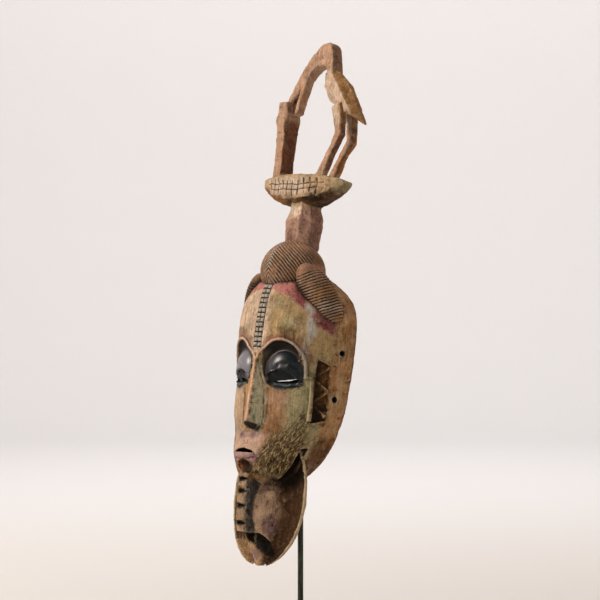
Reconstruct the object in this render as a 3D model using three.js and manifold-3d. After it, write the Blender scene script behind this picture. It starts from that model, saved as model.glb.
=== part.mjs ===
// Guro mask: a face with a hollow back, beard and bird crest, carved from one piece of wood,
// held upright by a steel rod on a plain foot.
// Millimetres, +Z up. The face looks along -Y, and +X is the mask's own left side.
// The origin is on the foot's underside, under the rod.
import * as THREE from "three";
import { mergeVertices } from "three/addons/utils/BufferGeometryUtils.js";
import Module from "manifold-3d";

const wasm = await Module();
wasm.setup();

// Stand
const rodRadius = 3;
const rodSides = 14;
const rodTop = 387;
const rodSeatDepth = 8;
const footSide = 150;
const footHeight = 14;
const footCorner = 6;
const footChamfer = 1.5;
const fitGap = 0.3;

// Mask frame: the middle of the back opening at eye height, leaning back from the upright rod
const maskLean = THREE.MathUtils.degToRad(9);
const maskBehindRod = 9;
const eyeHeight = 300;

// Head: how far the front stands before the back plane, and how wide it is, at rising heights.
// widest is how far in front of the back plane the section has its full half width, and square is
// how far its curve is from an ellipse, which has 2.
const headSections = [
  { z: -134, half: 12, widest: 40, back: 5, depth: 62, square: 2.05 },
  { z: -131, half: 22, widest: 36, back: 9, depth: 70, square: 2.05 },
  { z: -124, half: 30, widest: 29, back: 18, depth: 75, square: 2.05 },
  { z: -114, half: 36.5, widest: 22, back: 31, depth: 78, square: 2.05 },
  { z: -103, half: 43.5, widest: 15, back: 42.5, depth: 79.5, square: 2.05 },
  { z: -90, half: 51, widest: 12, back: 51, depth: 75, square: 2.1 },
  { z: -80, half: 56.5, widest: 8, back: 56.5, depth: 70.8, square: 2.2 },
  { z: -68, half: 61.5, widest: 6, back: 61, depth: 69.3, square: 2.3 },
  { z: -50, half: 66, widest: 2, back: 66, depth: 70, square: 2.25 },
  { z: -25, half: 68.5, widest: 0, back: 68.5, depth: 72.5, square: 2.1 },
  { z: 0, half: 70, widest: 0, back: 70, depth: 75.5, square: 2.08 },
  { z: 30, half: 70, widest: 0, back: 70, depth: 75.5, square: 2.25 },
  { z: 52, half: 67, widest: 0, back: 67, depth: 74, square: 2.3 },
  { z: 65, half: 60, widest: 0, back: 60, depth: 71.5, square: 2.3 },
  { z: 74, half: 50, widest: 0, back: 50, depth: 68, square: 2.3 },
  { z: 83, half: 36, widest: 0, back: 36, depth: 62, square: 2.3 },
  { z: 92, half: 18, widest: 0, back: 18, depth: 46, square: 2.3 },
];
const headRows = 25;
const headColumns = 23;
const sideWall = 9;
const frontWall = 12;
const hollowBottom = -112;
const hollowTop = 82;
const hollowRows = 11;
const hollowColumns = 12;

const eggRows = 10;
const eggColumns = 14;

// Eyes, one side; the other is its mirror
const eyeMiddle = { x: 28.5, z: -11.5 };
const socketHalf = { wide: 26, high: 26, deep: 8.5 };
const lidMiddle = { x: 31, z: -16 };
const lidHalf = { wide: 22.5, high: 24, deep: 13.5 };
const lidInset = 11;
const underLid = { z: -30, half: 17, inner: 8, rise: 23, deep: 7 };
const slit = { z: -28.5, half: 13, high: 3, long: 30, climb: THREE.MathUtils.degToRad(45) };
const lowerLid = { x: 32, z: -33.5, half: 17, rise: 6, thick: 3.5, sunk: 2.5 };
const browMiddle = { x: 29.3, z: -10 };
const browHalf = { wide: 22.2, high: 26.3 };
const browTurns = { from: 140, to: -28, count: 9 };
const browRadius = 1.9;
const browOut = 0.2;

// Nose, mouth and scars
const noseSections = [
  { z: -4, half: 2.4, depth: 77.6, drop: 0 },
  { z: -20, half: 10, depth: 78, drop: 0 },
  { z: -35, half: 17, depth: 78.6, drop: 0 },
  { z: -55, half: 17.5, depth: 80, drop: 0 },
  { z: -71.5, half: 16.5, depth: 80.8, drop: 4 },
  { z: -82, half: 13, depth: 68, drop: 1 },
];
const noseRidgeHalf = 0.9;
const noseInside = 58;
const mouth = { z: -103.6, half: 16, up: 9, down: 1, deep: 10 };
const lowerLip = { z: -107.9, half: 14, thick: 3.3, bend: 3.2, sunk: 0.8 };
const chinHollow = { z: -118, wide: 12, high: 6.5, deep: 6.5 };
const scars = { rows: 13, pitch: 5.2, top: 72, square: 4, step: 5.6, proud: 1, sink: 3 };

// Ears: a sunk panel with a zigzag ridge, and two tie holes behind each
const earPanel = [
  { y: -42, z: -1 },
  { y: -40, z: -68 },
  { y: -23, z: -63 },
  { y: -28.5, z: -6 },
];
const earDepth = { front: 6.5, rear: 1.2 };
const earOuter = 78;
const earRidge = { top: { y: -44.5, z: -8 }, low: { y: -42, z: -66 }, radius: 3.4, out: 0.2, steps: 4 };
const zigzag = [
  { y: -28.5, z: -8 },
  { y: -40.5, z: -20 },
  { y: -27, z: -33 },
  { y: -40, z: -47 },
  { y: -25, z: -59 },
];
const zigzagRidge = 2.4;
const tieHoles = [
  { y: -17.5, z: 8.6 },
  { y: -18.5, z: -40 },
];
const tieHoleRadius = 3;

// Hair: a middle lobe with a keel in front, and a lobe on each side
const middleLobe = { y: -35, z: 92.5, offset: 4, radius: 37.8, height: 34.5 };
const middleRibs = { normal: [0.5, 0.5, 0.707], pitch: 6.6, deep: 1.4 };
const middleRibColumns = 14;
const halfOverlap = 0.06;
const sideLobe = { along: [0.45, 0.4, -0.8], out: [0.78, -0.53, 0.33], halfAcross: 18.7 };
const leftLobe = { centre: [46, -37.8, 68], halfLong: 37.5, halfOut: 14.8 };
const rightLobe = { centre: [43.1, -41.4, 62.6], halfLong: 31.5, halfOut: 13.2 };
const sideRibs = { normal: [-0.29, -0.27, 0.92], pitch: 6.6, deep: 1.4 };
const sideRibColumns = 10;

// Beard: an oval plate hung forward of the back plane, a mound down its middle and a braid on it
const beard = { z: -147.5, half: 53, high: 73.5, rim: 34, tipForward: 6, back: 15, edge: 3 };
const beardTop = 0.745;
const beardRows = 13;
const beardColumns = 13;
const beardBackColumns = 6;
const mound = { high: 38, low: 0, from: -166, to: -220, dish: 4 };
const moundNeck = { from: -152, to: -126, loss: 0.45 };
const underMound = {
  half: [[0, -183.5], [7, -186], [13, -191.5], [17.5, -198.5], [21, -205.5], [22, -212.5], [15.5, -219.5], [0, -225]],
  floor: 0.8,
  rise: 4,
  riseFrom: -209,
};
const braid = { half: 7, top: -122, end: -186, topDepth: 76.5, endDepth: 70, inside: 46 };
const braidNotches = { places: [-132, -144.5, -159.5, -177], from: -2.6, deep: 3.2, high: 3.8 };
// The jaw's lower edge at the beard, as x and z, and how it slants towards the front
const jawCut = {
  line: [[52, -92], [35.4, -94.5], [32.5, -98.4], [24.2, -112.5], [18.2, -119], [12.2, -125.6], [4, -129.9]],
  bottom: -142,
  outer: 70,
  back: -30,
  front: -90,
  slantX: 0.996,
  slantZ: -0.055,
};

// Crest: neck post, platform, the upright post and the bird, all about one plane
const crestY = -27;
const neckSections = [
  { z: 112, half: 17 },
  { z: 135, half: 18.6 },
  { z: 148, half: 19.2 },
  { z: 160, half: 16 },
  { z: 172, half: 15.2 },
];
const platform = { x: -1.5, half: 65, deep: 18.5, top: 198.5, low: 170, keel: 163, endRise: 24, endDrop: 4 };
const platformTilt = 6;
const platformSteps = 14;
const platformLines = { first: -41, pitch: 8.3, count: 10, low: 175, high: 191, wide: 1.3, deep: 1.2 };
const platformLongLines = { parts: [0.36, 0.72], pieces: 2 };
const postSections = [
  { x: -41, z: 190, wide: 14, deep: 19 },
  { x: -41.2, z: 225, wide: 13, deep: 20 },
  { x: -41.6, z: 252, wide: 14, deep: 23 },
  { x: -42.4, z: 260, wide: 17.5, deep: 24 },
  { x: -42, z: 268, wide: 14, deep: 23 },
  { x: -43.2, z: 281, wide: 14, deep: 21 },
];
const birdDepths = [
  { x: -48, half: 4.5 },
  { x: -25, half: 5.5 },
  { x: 0, half: 7.5 },
  { x: 24, half: 8 },
  { x: 48, half: 13 },
  { x: 76, half: 8 },
];
const bodySections = [
  { z: 250.5, breast: 75, ridge: 76, spine: 77, front: 1, half: 1.5 },
  { z: 262, breast: 54, ridge: 59, spine: 68, front: 9.5, half: 10.5 },
  { z: 270, breast: 38, ridge: 56.5, spine: 63.5, front: 7.5, half: 12 },
  { z: 278, breast: 22.5, ridge: 51, spine: 58.5, front: 4.5, half: 12 },
  { z: 295, breast: 15.5, ridge: 37.5, spine: 48, front: 8.5, half: 11 },
  { z: 306, breast: 15, ridge: 28, spine: 35, front: 8.5, half: 9.5 },
  { z: 313, breast: 15.5, ridge: 22, spine: 27, front: 7, half: 7.5 },
];
const spineHalf = 2.5;
const legSections = [
  { x: 40.8, z: 272, wide: 13, deep: 10 },
  { x: 46.3, z: 254, wide: 10.5, deep: 10 },
  { x: 48.5, z: 240, wide: 10.5, deep: 9 },
  { x: 39, z: 221, wide: 7.8, deep: 8 },
  { x: 28, z: 198, wide: 11, deep: 9 },
  { x: 27, z: 192, wide: 12, deep: 9 },
];
const legSpread = 9.5;
const farKneeDrop = 6;

const woodPaint = { color: 0xb08f62, roughness: 0.75, metalness: 0 };
const rodSteel = { color: 0x2f3530, roughness: 0.5, metalness: 0.9 };
const footSteel = { color: 0x24262a, roughness: 0.55, metalness: 0.6 };

// A closed mesh as a solid, its shared corners merged
function toSolid(geometry) {
  const plain = geometry.clone();
  plain.deleteAttribute("normal");
  plain.deleteAttribute("uv");
  const merged = mergeVertices(plain, 1e-4);
  const vertProperties = new Float32Array(merged.attributes.position.array);
  const triVerts = new Uint32Array(merged.index.array);
  return new wasm.Manifold(new wasm.Mesh({ numProp: 3, vertProperties, triVerts }));
}

// The solid's vertices and triangles back as a geometry
function toGeometry(solid) {
  const mesh = solid.getMesh();
  const geometry = new THREE.BufferGeometry();
  geometry.setAttribute("position", new THREE.BufferAttribute(mesh.vertProperties, 3));
  geometry.setIndex(new THREE.BufferAttribute(mesh.triVerts, 1));
  geometry.computeVertexNormals();
  return geometry;
}

// Six times the volume inside a triangle list, whose sign tells which way its faces point
function signedVolume(points, triangles) {
  let sum = 0;
  for (let i = 0; i < triangles.length; i += 3) {
    const [a, b, c] = [0, 1, 2].map((k) => points[triangles[i + k]]);
    sum += a.dot(new THREE.Vector3().crossVectors(b, c));
  }
  return sum;
}

// A closed body through rings of equally many points, with both ends closed to their middles
function loft(rings) {
  const count = rings[0].length;
  const points = rings.flat();
  const triangles = [];
  for (let r = 0; r < rings.length - 1; r++) {
    for (let i = 0; i < count; i++) {
      const a = r * count + i;
      const b = r * count + ((i + 1) % count);
      triangles.push(a, b, b + count, a, b + count, a + count);
    }
  }
  for (const [ring, start, flip] of [
    [rings[0], 0, true],
    [rings.at(-1), (rings.length - 1) * count, false],
  ]) {
    const middle = new THREE.Vector3();
    ring.forEach((p) => middle.addScaledVector(p, 1 / count));
    points.push(middle);
    for (let i = 0; i < count; i++) {
      const a = start + i;
      const b = start + ((i + 1) % count);
      triangles.push(points.length - 1, flip ? b : a, flip ? a : b);
    }
  }
  if (signedVolume(points, triangles) < 0) triangles.reverse();
  const geometry = new THREE.BufferGeometry();
  const flat = points.flatMap((p) => [p.x, p.y, p.z]);
  geometry.setAttribute("position", new THREE.Float32BufferAttribute(flat, 3));
  geometry.setIndex(triangles);
  return toSolid(geometry);
}

// The same solid on the mask's other side
function mirrored(solid) {
  const geometry = toGeometry(solid);
  geometry.scale(-1, 1, 1);
  geometry.index.array.reverse();
  return toSolid(geometry);
}

function joined(solids) {
  return solids.reduce((all, one) => all.add(one));
}

// A smooth value between the stations of a table, at one value of its key
function between(table, key, at, name) {
  const last = table.length - 1;
  let i = table.findIndex((row) => row[key] > at) - 1;
  if (at <= table[0][key]) i = 0;
  if (at >= table[last][key]) i = last - 1;
  const [p, q] = [table[i], table[i + 1]];
  const span = q[key] - p[key];
  const slope = (a, b) => (table[b][name] - table[a][name]) / (table[b][key] - table[a][key]);
  const startSlope = slope(Math.max(i - 1, 0), i + 1);
  const endSlope = slope(i, Math.min(i + 2, last));
  const s = THREE.MathUtils.clamp((at - p[key]) / span, 0, 1);
  const rise = q[name] - p[name];
  const a = startSlope * span - rise;
  const b = rise - endSlope * span;
  return p[name] + rise * s + s * (1 - s) * (a * (1 - s) + b * s);
}

function headAt(z) {
  const names = ["half", "widest", "back", "depth", "square"];
  return Object.fromEntries(names.map((name) => [name, between(headSections, "z", z, name)]));
}

// A point on the head's section: turn runs from -90 degrees on the right side to 90 on the left
function onSection(section, turn, z) {
  const power = 2 / section.square;
  const [s, c] = [Math.sin(turn), Math.cos(turn)];
  const x = section.half * Math.sign(s) * Math.abs(s) ** power;
  const y = -section.widest - (section.depth - section.widest) * Math.abs(c) ** power;
  return new THREE.Vector3(x, y, z);
}

// How far before the back plane the plain head stands at a place
function headDepth(x, z) {
  const section = headAt(z);
  const s = Math.min(Math.abs(x) / section.half, 1);
  const rise = (1 - s ** section.square) ** (1 / section.square);
  return section.widest + (section.depth - section.widest) * rise;
}

// How far out to the side the plain head stands at a place on its flank
function headWidth(y, z) {
  const section = headAt(z);
  const s = Math.min((-y - section.widest) / (section.depth - section.widest), 1);
  return section.half * (1 - Math.max(s, 0) ** section.square) ** (1 / section.square);
}

// A ring of the head's section, closed straight across at the back
function headRing(section, z, columns, backY) {
  const ring = [new THREE.Vector3(section.back, backY, z), new THREE.Vector3(-section.back, backY, z)];
  for (let i = 0; i <= columns; i++) {
    ring.push(onSection(section, Math.PI * (i / columns - 0.5), z));
  }
  return ring;
}

function headBlock() {
  const bottom = headSections[0].z;
  const top = headSections.at(-1).z;
  const rings = [];
  for (let r = 0; r <= headRows; r++) {
    const z = bottom + ((top - bottom) * r) / headRows;
    rings.push(headRing(headAt(z), z, headColumns, 0));
  }
  const crown = { half: 8, widest: 0, back: 8, depth: 34, square: 2 };
  rings.push(headRing(crown, top + 3, headColumns, 0));
  return loft(rings);
}

// The hollow follows the outside, a wall's thickness in, and runs out through the back
function hollow() {
  const rings = [];
  for (let r = 0; r <= hollowRows; r++) {
    const s = r / hollowRows;
    const z = hollowBottom + (hollowTop - hollowBottom) * s;
    const outside = headAt(z);
    const ends = Math.min(1, Math.sqrt(Math.min(s, 1 - s) * 7 + 0.09));
    const half = (Math.min(outside.half, outside.back + 4) - sideWall) * ends;
    const depth = (outside.depth - frontWall) * (0.55 + 0.45 * ends);
    const section = { ...outside, half, back: half, widest: 0, depth };
    rings.push(headRing(section, z, hollowColumns, 6));
  }
  return loft(rings);
}

// A sphere stretched to three half sizes, with its middle at a place
function egg(wide, deep, high, at, turn = 0) {
  const ball = new THREE.SphereGeometry(1, eggColumns, eggRows);
  ball.rotateX(Math.PI / 2);
  ball.scale(wide, deep, high);
  ball.rotateZ(turn);
  ball.translate(at.x, at.y, at.z);
  return toSolid(ball);
}

// The turn about Z that lays a piece along the head's surface at a place
function surfaceTurn(x, z) {
  const step = 3;
  return Math.atan2(headDepth(x - step, z) - headDepth(x + step, z), 2 * step);
}

// A ridge that lies along the head's surface through places given as x and z
function surfaceRidge(places, radius, out, steps) {
  const path = places.map(([x, z]) => new THREE.Vector3(x, -headDepth(x, z) - out, z));
  const curve = new THREE.CatmullRomCurve3(path, false, "centripetal");
  return tube(curve, radius, 6, steps);
}

// Places along a bow over x, whose ends stand higher than its middle by a rise
function bow(x, z, half, rise) {
  const places = [];
  for (let i = 0; i <= 6; i++) {
    const s = i / 3 - 1;
    places.push([x + half * s, z + rise * s * s]);
  }
  return places;
}

function tube(curve, radius, sides, steps) {
  const section = new THREE.Shape();
  for (let i = 0; i < sides; i++) {
    const turn = (2 * Math.PI * i) / sides;
    section[i ? "lineTo" : "moveTo"](radius * Math.cos(turn), radius * Math.sin(turn));
  }
  section.closePath();
  return toSolid(new THREE.ExtrudeGeometry(section, { steps, extrudePath: curve }));
}

function eyeCut() {
  const { x, z } = eyeMiddle;
  const at = new THREE.Vector3(x, -headDepth(x, z) - 1, z);
  return egg(socketHalf.wide, socketHalf.deep, socketHalf.high, at, surfaceTurn(x, z));
}

// The lid bulges in its socket, with the lower lid as a ledge under it
function eyeLids() {
  const { x, z } = lidMiddle;
  const turn = surfaceTurn(x, z);
  const at = new THREE.Vector3(x - Math.sin(turn) * lidInset * 0.5, -headDepth(x, z) + lidInset, z);
  const ball = egg(lidHalf.wide, lidHalf.deep, lidHalf.high, at, turn);
  const ledge = bow(lowerLid.x, lowerLid.z, lowerLid.half, lowerLid.rise);
  return ball.add(surfaceRidge(ledge, lowerLid.thick, -lowerLid.sunk, 10));
}

// The arched recess under the upper lid
function underLidCut() {
  const { z, half, inner, rise, deep } = underLid;
  const shape = new THREE.Shape();
  shape.moveTo(-half, -1);
  shape.lineTo(-half - 3, inner);
  shape.quadraticCurveTo(-half / 4, rise, half + 1, 3);
  shape.lineTo(half, -1);
  shape.closePath();
  const plate = new THREE.ExtrudeGeometry(shape, { depth: deep + 12, bevelEnabled: false, curveSegments: 6 });
  plate.rotateX(Math.PI / 2);
  plate.rotateZ(surfaceTurn(lidMiddle.x, z));
  plate.translate(lidMiddle.x, -headDepth(lidMiddle.x, z) + deep, z);
  return toSolid(plate);
}

// The slit that the wearer looks through, climbing from the recess to the hollow
function eyeSlit() {
  const bar = new THREE.BoxGeometry(2 * slit.half, slit.long, slit.high);
  bar.translate(0, slit.long / 2 - slit.high, 0);
  bar.rotateX(slit.climb);
  bar.rotateZ(surfaceTurn(lidMiddle.x, slit.z) * 0.6);
  bar.translate(lidMiddle.x, -headDepth(lidMiddle.x, slit.z) + underLid.deep, slit.z);
  return toSolid(bar);
}

function brow() {
  const places = [[1.2, noseSections[0].z - 3], [3.5, noseSections[0].z + 4]];
  for (let i = 0; i <= browTurns.count; i++) {
    const turn = THREE.MathUtils.lerp(browTurns.from, browTurns.to, i / browTurns.count);
    const angle = THREE.MathUtils.degToRad(turn);
    const x = browMiddle.x + browHalf.wide * (angle < 0 ? 1 : Math.cos(angle));
    places.push([x, browMiddle.z + browHalf.high * Math.sin(angle)]);
  }
  return surfaceRidge(places, browRadius, browOut, 16);
}

function nose() {
  return loft(noseSections.map(({ z, half, depth, drop }) => [
    new THREE.Vector3(-noseRidgeHalf, -depth, z),
    new THREE.Vector3(noseRidgeHalf, -depth, z),
    new THREE.Vector3(half, -headDepth(half, z) + 1, z - drop),
    new THREE.Vector3(half, -noseInside, z - drop),
    new THREE.Vector3(-half, -noseInside, z - drop),
    new THREE.Vector3(-half, -headDepth(half, z) + 1, z - drop),
  ]));
}

function mouthCut() {
  const shape = new THREE.Shape();
  shape.moveTo(-mouth.half, -1);
  shape.quadraticCurveTo(0, mouth.up, mouth.half, -1);
  shape.quadraticCurveTo(0, -mouth.down, -mouth.half, -1);
  const options = { depth: mouth.deep + 8, bevelEnabled: false, curveSegments: 7 };
  const plate = new THREE.ExtrudeGeometry(shape, options);
  plate.rotateX(Math.PI / 2);
  plate.translate(0, -headDepth(0, mouth.z) + mouth.deep, mouth.z);
  return toSolid(plate);
}

function mouthLip() {
  const { z, half, thick, bend, sunk } = lowerLip;
  return surfaceRidge(bow(0, z, half, bend), thick, -sunk, 10);
}

function chinCut() {
  const at = new THREE.Vector3(0, -headDepth(0, chinHollow.z) - 1, chinHollow.z);
  return egg(chinHollow.wide, chinHollow.deep, chinHollow.high, at);
}

// Two columns of raised squares down the middle of the forehead
function scarSquares() {
  const squares = [];
  for (let row = 0; row < scars.rows; row++) {
    const z = scars.top - row * scars.pitch;
    for (const side of [-1, 1]) {
      const block = new THREE.BoxGeometry(scars.square, scars.sink, scars.square);
      block.translate((side * scars.step) / 2, -headDepth(0, z) - scars.proud + scars.sink / 2, z);
      squares.push(toSolid(block));
    }
  }
  return joined(squares);
}

// A prism over an outline in the Y-Z plane, from one x to another
function sidePrism(outline, fromX, toX) {
  return loft([fromX, toX].map((x) => outline.map(({ y, z }) => new THREE.Vector3(x, y, z))));
}

// The panel's floor follows the head's flank, deep along the front edge and shallow at the rear
function earCut() {
  const rows = 6;
  const [frontTop, frontLow, rearLow, rearTop] = earPanel.map(({ y, z }) => new THREE.Vector2(y, z));
  const rings = [];
  for (let r = 0; r <= rows; r++) {
    const front = frontTop.clone().lerp(frontLow, r / rows);
    const rear = rearTop.clone().lerp(rearLow, r / rows);
    rings.push([
      new THREE.Vector3(headWidth(front.x, front.y) - earDepth.front, front.x, front.y),
      new THREE.Vector3(headWidth(rear.x, rear.y) - earDepth.rear, rear.x, rear.y),
      new THREE.Vector3(earOuter, rear.x, rear.y),
      new THREE.Vector3(earOuter, front.x, front.y),
    ]);
  }
  return loft(rings);
}

// How far under the flank the zigzag's middle line lies
function zigzagUnder(y) {
  const s = THREE.MathUtils.clamp((y - earPanel[0].y) / (earPanel[2].y - earPanel[0].y), 0, 1);
  return THREE.MathUtils.lerp(earDepth.front, earDepth.rear, s) - 0.3;
}

function earZigzag() {
  const path = zigzag.map(({ y, z }) => new THREE.Vector3(headWidth(y, z) - zigzagUnder(y), y, z));
  const bars = [];
  for (let i = 0; i < path.length - 1; i++) {
    const line = new THREE.LineCurve3(path[i], path[i + 1]);
    bars.push(tube(line, zigzagRidge, 4, 1));
  }
  return joined(bars);
}

// A raised edge along the front of the ear
function earFrontEdge() {
  const { top, low, radius, out, steps } = earRidge;
  const path = [0, 0.25, 0.5, 0.75, 1].map((s) => {
    const y = THREE.MathUtils.lerp(top.y, low.y, s);
    const z = THREE.MathUtils.lerp(top.z, low.z, s);
    return new THREE.Vector3(headWidth(y, z) + out - radius * (1 - s), y, z);
  });
  return tube(new THREE.CatmullRomCurve3(path), radius, 6, steps);
}

function tieHole({ y, z }) {
  const drill = new THREE.CylinderGeometry(tieHoleRadius, tieHoleRadius, 60, 14);
  drill.rotateZ(Math.PI / 2);
  drill.translate(70, y, z);
  return toSolid(drill);
}

// A stretched ball whose surface is cut into ribs by planes square to a direction
function ribbedLobe(centre, axes, ribs, columns) {
  const normal = new THREE.Vector3(...ribs.normal).normalize();
  const pull = new THREE.Vector3(...axes.map((axis) => axis.dot(normal)));
  const reach = pull.length();
  const pole = pull.normalize();
  const across = new THREE.Vector3().crossVectors(pole, new THREE.Vector3(0.3, 1, 0.2)).normalize();
  const third = new THREE.Vector3().crossVectors(pole, across);
  const count = Math.round((2 * reach) / ribs.pitch) * 2;
  const rings = [];
  for (let r = 0; r < count; r++) {
    const height = (2 * (r + 0.5)) / count - 1;
    const circle = Math.sqrt(1 - height * height);
    const cut = r % 2 ? 0 : ribs.deep;
    const ring = [];
    for (let i = 0; i < columns; i++) {
      const turn = (2 * Math.PI * i) / columns;
      const unit = pole.clone().multiplyScalar(height);
      unit.addScaledVector(across, circle * Math.cos(turn));
      unit.addScaledVector(third, circle * Math.sin(turn));
      const out = new THREE.Vector3();
      axes.forEach((axis, k) => out.addScaledVector(axis, unit.getComponent(k)));
      out.multiplyScalar(1 - cut / out.length());
      ring.push(out.add(centre));
    }
    rings.push(ring);
  }
  return loft(rings);
}

// The middle lobe is two ribbed halves that overlap a little and meet in a keel
function hairMiddle() {
  const { y, z, offset, radius, height } = middleLobe;
  const axes = [
    new THREE.Vector3(radius, 0, 0),
    new THREE.Vector3(0, radius, 0),
    new THREE.Vector3(0, 0, height),
  ];
  const lobe = ribbedLobe(new THREE.Vector3(-offset, y, z), axes, middleRibs, middleRibColumns);
  const box = new THREE.BoxGeometry(2 * radius, 2 * radius, 4 * radius);
  box.translate(radius - halfOverlap, -radius, z);
  const left = lobe.intersect(toSolid(box));
  return left.add(mirrored(left));
}

// A side lobe, built on the left side
function hairSide({ centre, halfLong, halfOut }) {
  const along = new THREE.Vector3(...sideLobe.along).normalize();
  const out = new THREE.Vector3(...sideLobe.out);
  out.addScaledVector(along, -out.dot(along)).normalize();
  const across = new THREE.Vector3().crossVectors(along, out);
  const axes = [
    along.multiplyScalar(halfLong),
    out.multiplyScalar(halfOut),
    across.multiplyScalar(sideLobe.halfAcross),
  ];
  return ribbedLobe(new THREE.Vector3(...centre), axes, sideRibs, sideRibColumns);
}

// The beard's outline is an ellipse; the mound stands on the upper part and drops off at its end
function beardHalf(z) {
  return beard.half * Math.sqrt(Math.max(1 - ((z - beard.z) / beard.high) ** 2, 0));
}

function beardRim(z) {
  return beard.rim + beard.tipForward * Math.min((z - beard.z) / beard.high, 0) ** 2;
}

function moundHeight(z) {
  const rise = THREE.MathUtils.smoothstep(z, mound.to, mound.from);
  const neck = 1 - moundNeck.loss * THREE.MathUtils.smoothstep(z, moundNeck.from, moundNeck.to);
  return mound.low + (mound.high - mound.low) * rise * neck;
}

function beardFront(x, z) {
  const s = Math.min(Math.abs(x) / beardHalf(z), 1);
  return beardRim(z) + moundHeight(z) * (1 - s) ** 1.6 - mound.dish * Math.sin(Math.PI * s ** 1.5);
}

function beardPlate() {
  const low = beard.z - beard.high;
  const heights = [];
  for (let r = 1; r <= beardRows; r++) {
    heights.push(beard.z - beard.high * Math.cos((Math.PI * beardTop * r) / beardRows));
  }
  const rings = heights.map((z) => {
    const half = beardHalf(z);
    const ring = [];
    for (let i = 0; i <= beardColumns; i++) {
      const x = half * Math.sin(Math.PI * (i / beardColumns - 0.5));
      ring.push(new THREE.Vector3(x, -beardFront(x, z), z));
    }
    for (let i = 0; i <= beardBackColumns; i++) {
      const x = half * Math.cos((Math.PI * i) / beardBackColumns);
      const bulge = beard.back * Math.sqrt(Math.max(1 - (x / half) ** 2, 0));
      ring.push(new THREE.Vector3(x, -beardRim(z) + beard.edge + bulge * Math.min(1, (z - low) / 30), z));
    }
    return ring;
  });
  return loft(rings);
}

// The mound ends in an arched undercut, and the plate goes on flat below it
function moundEnd() {
  const { half, floor, rise, riseFrom } = underMound;
  const outline = [...half, ...half.slice(1, -1).map(([x, z]) => [-x, z]).reverse()];
  const inner = outline.map(([x, z]) => {
    return new THREE.Vector3(x, -beardRim(z) - floor, z + (z > riseFrom ? rise : 0));
  });
  const outer = outline.map(([x, z]) => new THREE.Vector3(x, -100, z));
  return loft([inner, outer]);
}

// The jaw is cut back where it meets the beard, so that the plate's rim runs up behind it
function jawSide() {
  const { line, bottom, outer, back, front, slantX, slantZ } = jawCut;
  const outline = [...line, [line.at(-1)[0], bottom], [outer, bottom], [outer, line[0][1]]];
  const forward = back - front;
  return loft([0, forward].map((step) => {
    return outline.map(([x, z]) => new THREE.Vector3(x + slantX * step, back - step, z + slantZ * step));
  }));
}

function beardBraid() {
  const rows = 5;
  const rings = [];
  for (let r = 0; r <= rows; r++) {
    const s = r / rows;
    const z = braid.end + (braid.top - braid.end) * s;
    const depth = THREE.MathUtils.lerp(braid.endDepth, braid.topDepth, Math.sqrt(s));
    rings.push([
      new THREE.Vector3(-braid.half, -depth + 2, z),
      new THREE.Vector3(-braid.half * 0.55, -depth, z),
      new THREE.Vector3(braid.half * 0.55, -depth, z),
      new THREE.Vector3(braid.half, -depth + 2, z),
      new THREE.Vector3(braid.half, -braid.inside, z),
      new THREE.Vector3(-braid.half, -braid.inside, z),
    ]);
  }
  let strip = loft(rings);
  for (const z of braidNotches.places) {
    const s = (z - braid.end) / (braid.top - braid.end);
    const face = THREE.MathUtils.lerp(braid.endDepth, braid.topDepth, Math.sqrt(s));
    const outline = [
      { y: -90, z: z - braidNotches.high / 2 },
      { y: braidNotches.deep - face, z: z - braidNotches.high / 3 },
      { y: braidNotches.deep - face, z: z + braidNotches.high / 3 },
      { y: -90, z: z + braidNotches.high / 2 },
    ];
    strip = strip.subtract(sidePrism(outline, braidNotches.from, braid.half + 4));
  }
  return strip;
}

// A ring with cut corners, in the plane of two directions about a middle
function cutCornerRing(middle, u, halfU, v, halfV, corner = 0.45) {
  const signs = [[1, -1], [1, 1], [-1, 1], [-1, -1]];
  const ring = [];
  for (const [a, b] of signs) {
    const first = a * b > 0;
    for (const step of [0, 1]) {
      const short = step === (first ? 0 : 1);
      const alongU = a * halfU * (short ? 1 : 1 - corner);
      const alongV = b * halfV * (short ? 1 - corner : 1);
      ring.push(middle.clone().addScaledVector(u, alongU).addScaledVector(v, alongV));
    }
  }
  return ring;
}

// A knife-cut limb through stations in the crest's plane, with cut corners
function limb(stations, y, corner) {
  const depthWay = new THREE.Vector3(0, 1, 0);
  return loft(stations.map((station, i) => {
    const before = stations[Math.max(i - 1, 0)];
    const after = stations[Math.min(i + 1, stations.length - 1)];
    const way = new THREE.Vector3(after.x - before.x, 0, after.z - before.z).normalize();
    const side = new THREE.Vector3(way.z, 0, -way.x);
    const middle = new THREE.Vector3(station.x, y, station.z);
    return cutCornerRing(middle, side, station.wide / 2, depthWay, station.deep / 2, corner);
  }));
}

function neckPost() {
  return loft(neckSections.map(({ z, half }) => {
    const middle = new THREE.Vector3(0, crestY + 0.5, z);
    const across = new THREE.Vector3(1, 0, 0);
    return cutCornerRing(middle, across, half, new THREE.Vector3(0, 1, 0), half * 0.96, 0.5);
  }));
}

// How far the platform's faces stand from the crest's plane at a place along it
function platformHalf(x) {
  return platform.deep * (1 - Math.abs((x - platform.x) / platform.half) ** 2.2) ** 0.6;
}

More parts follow.
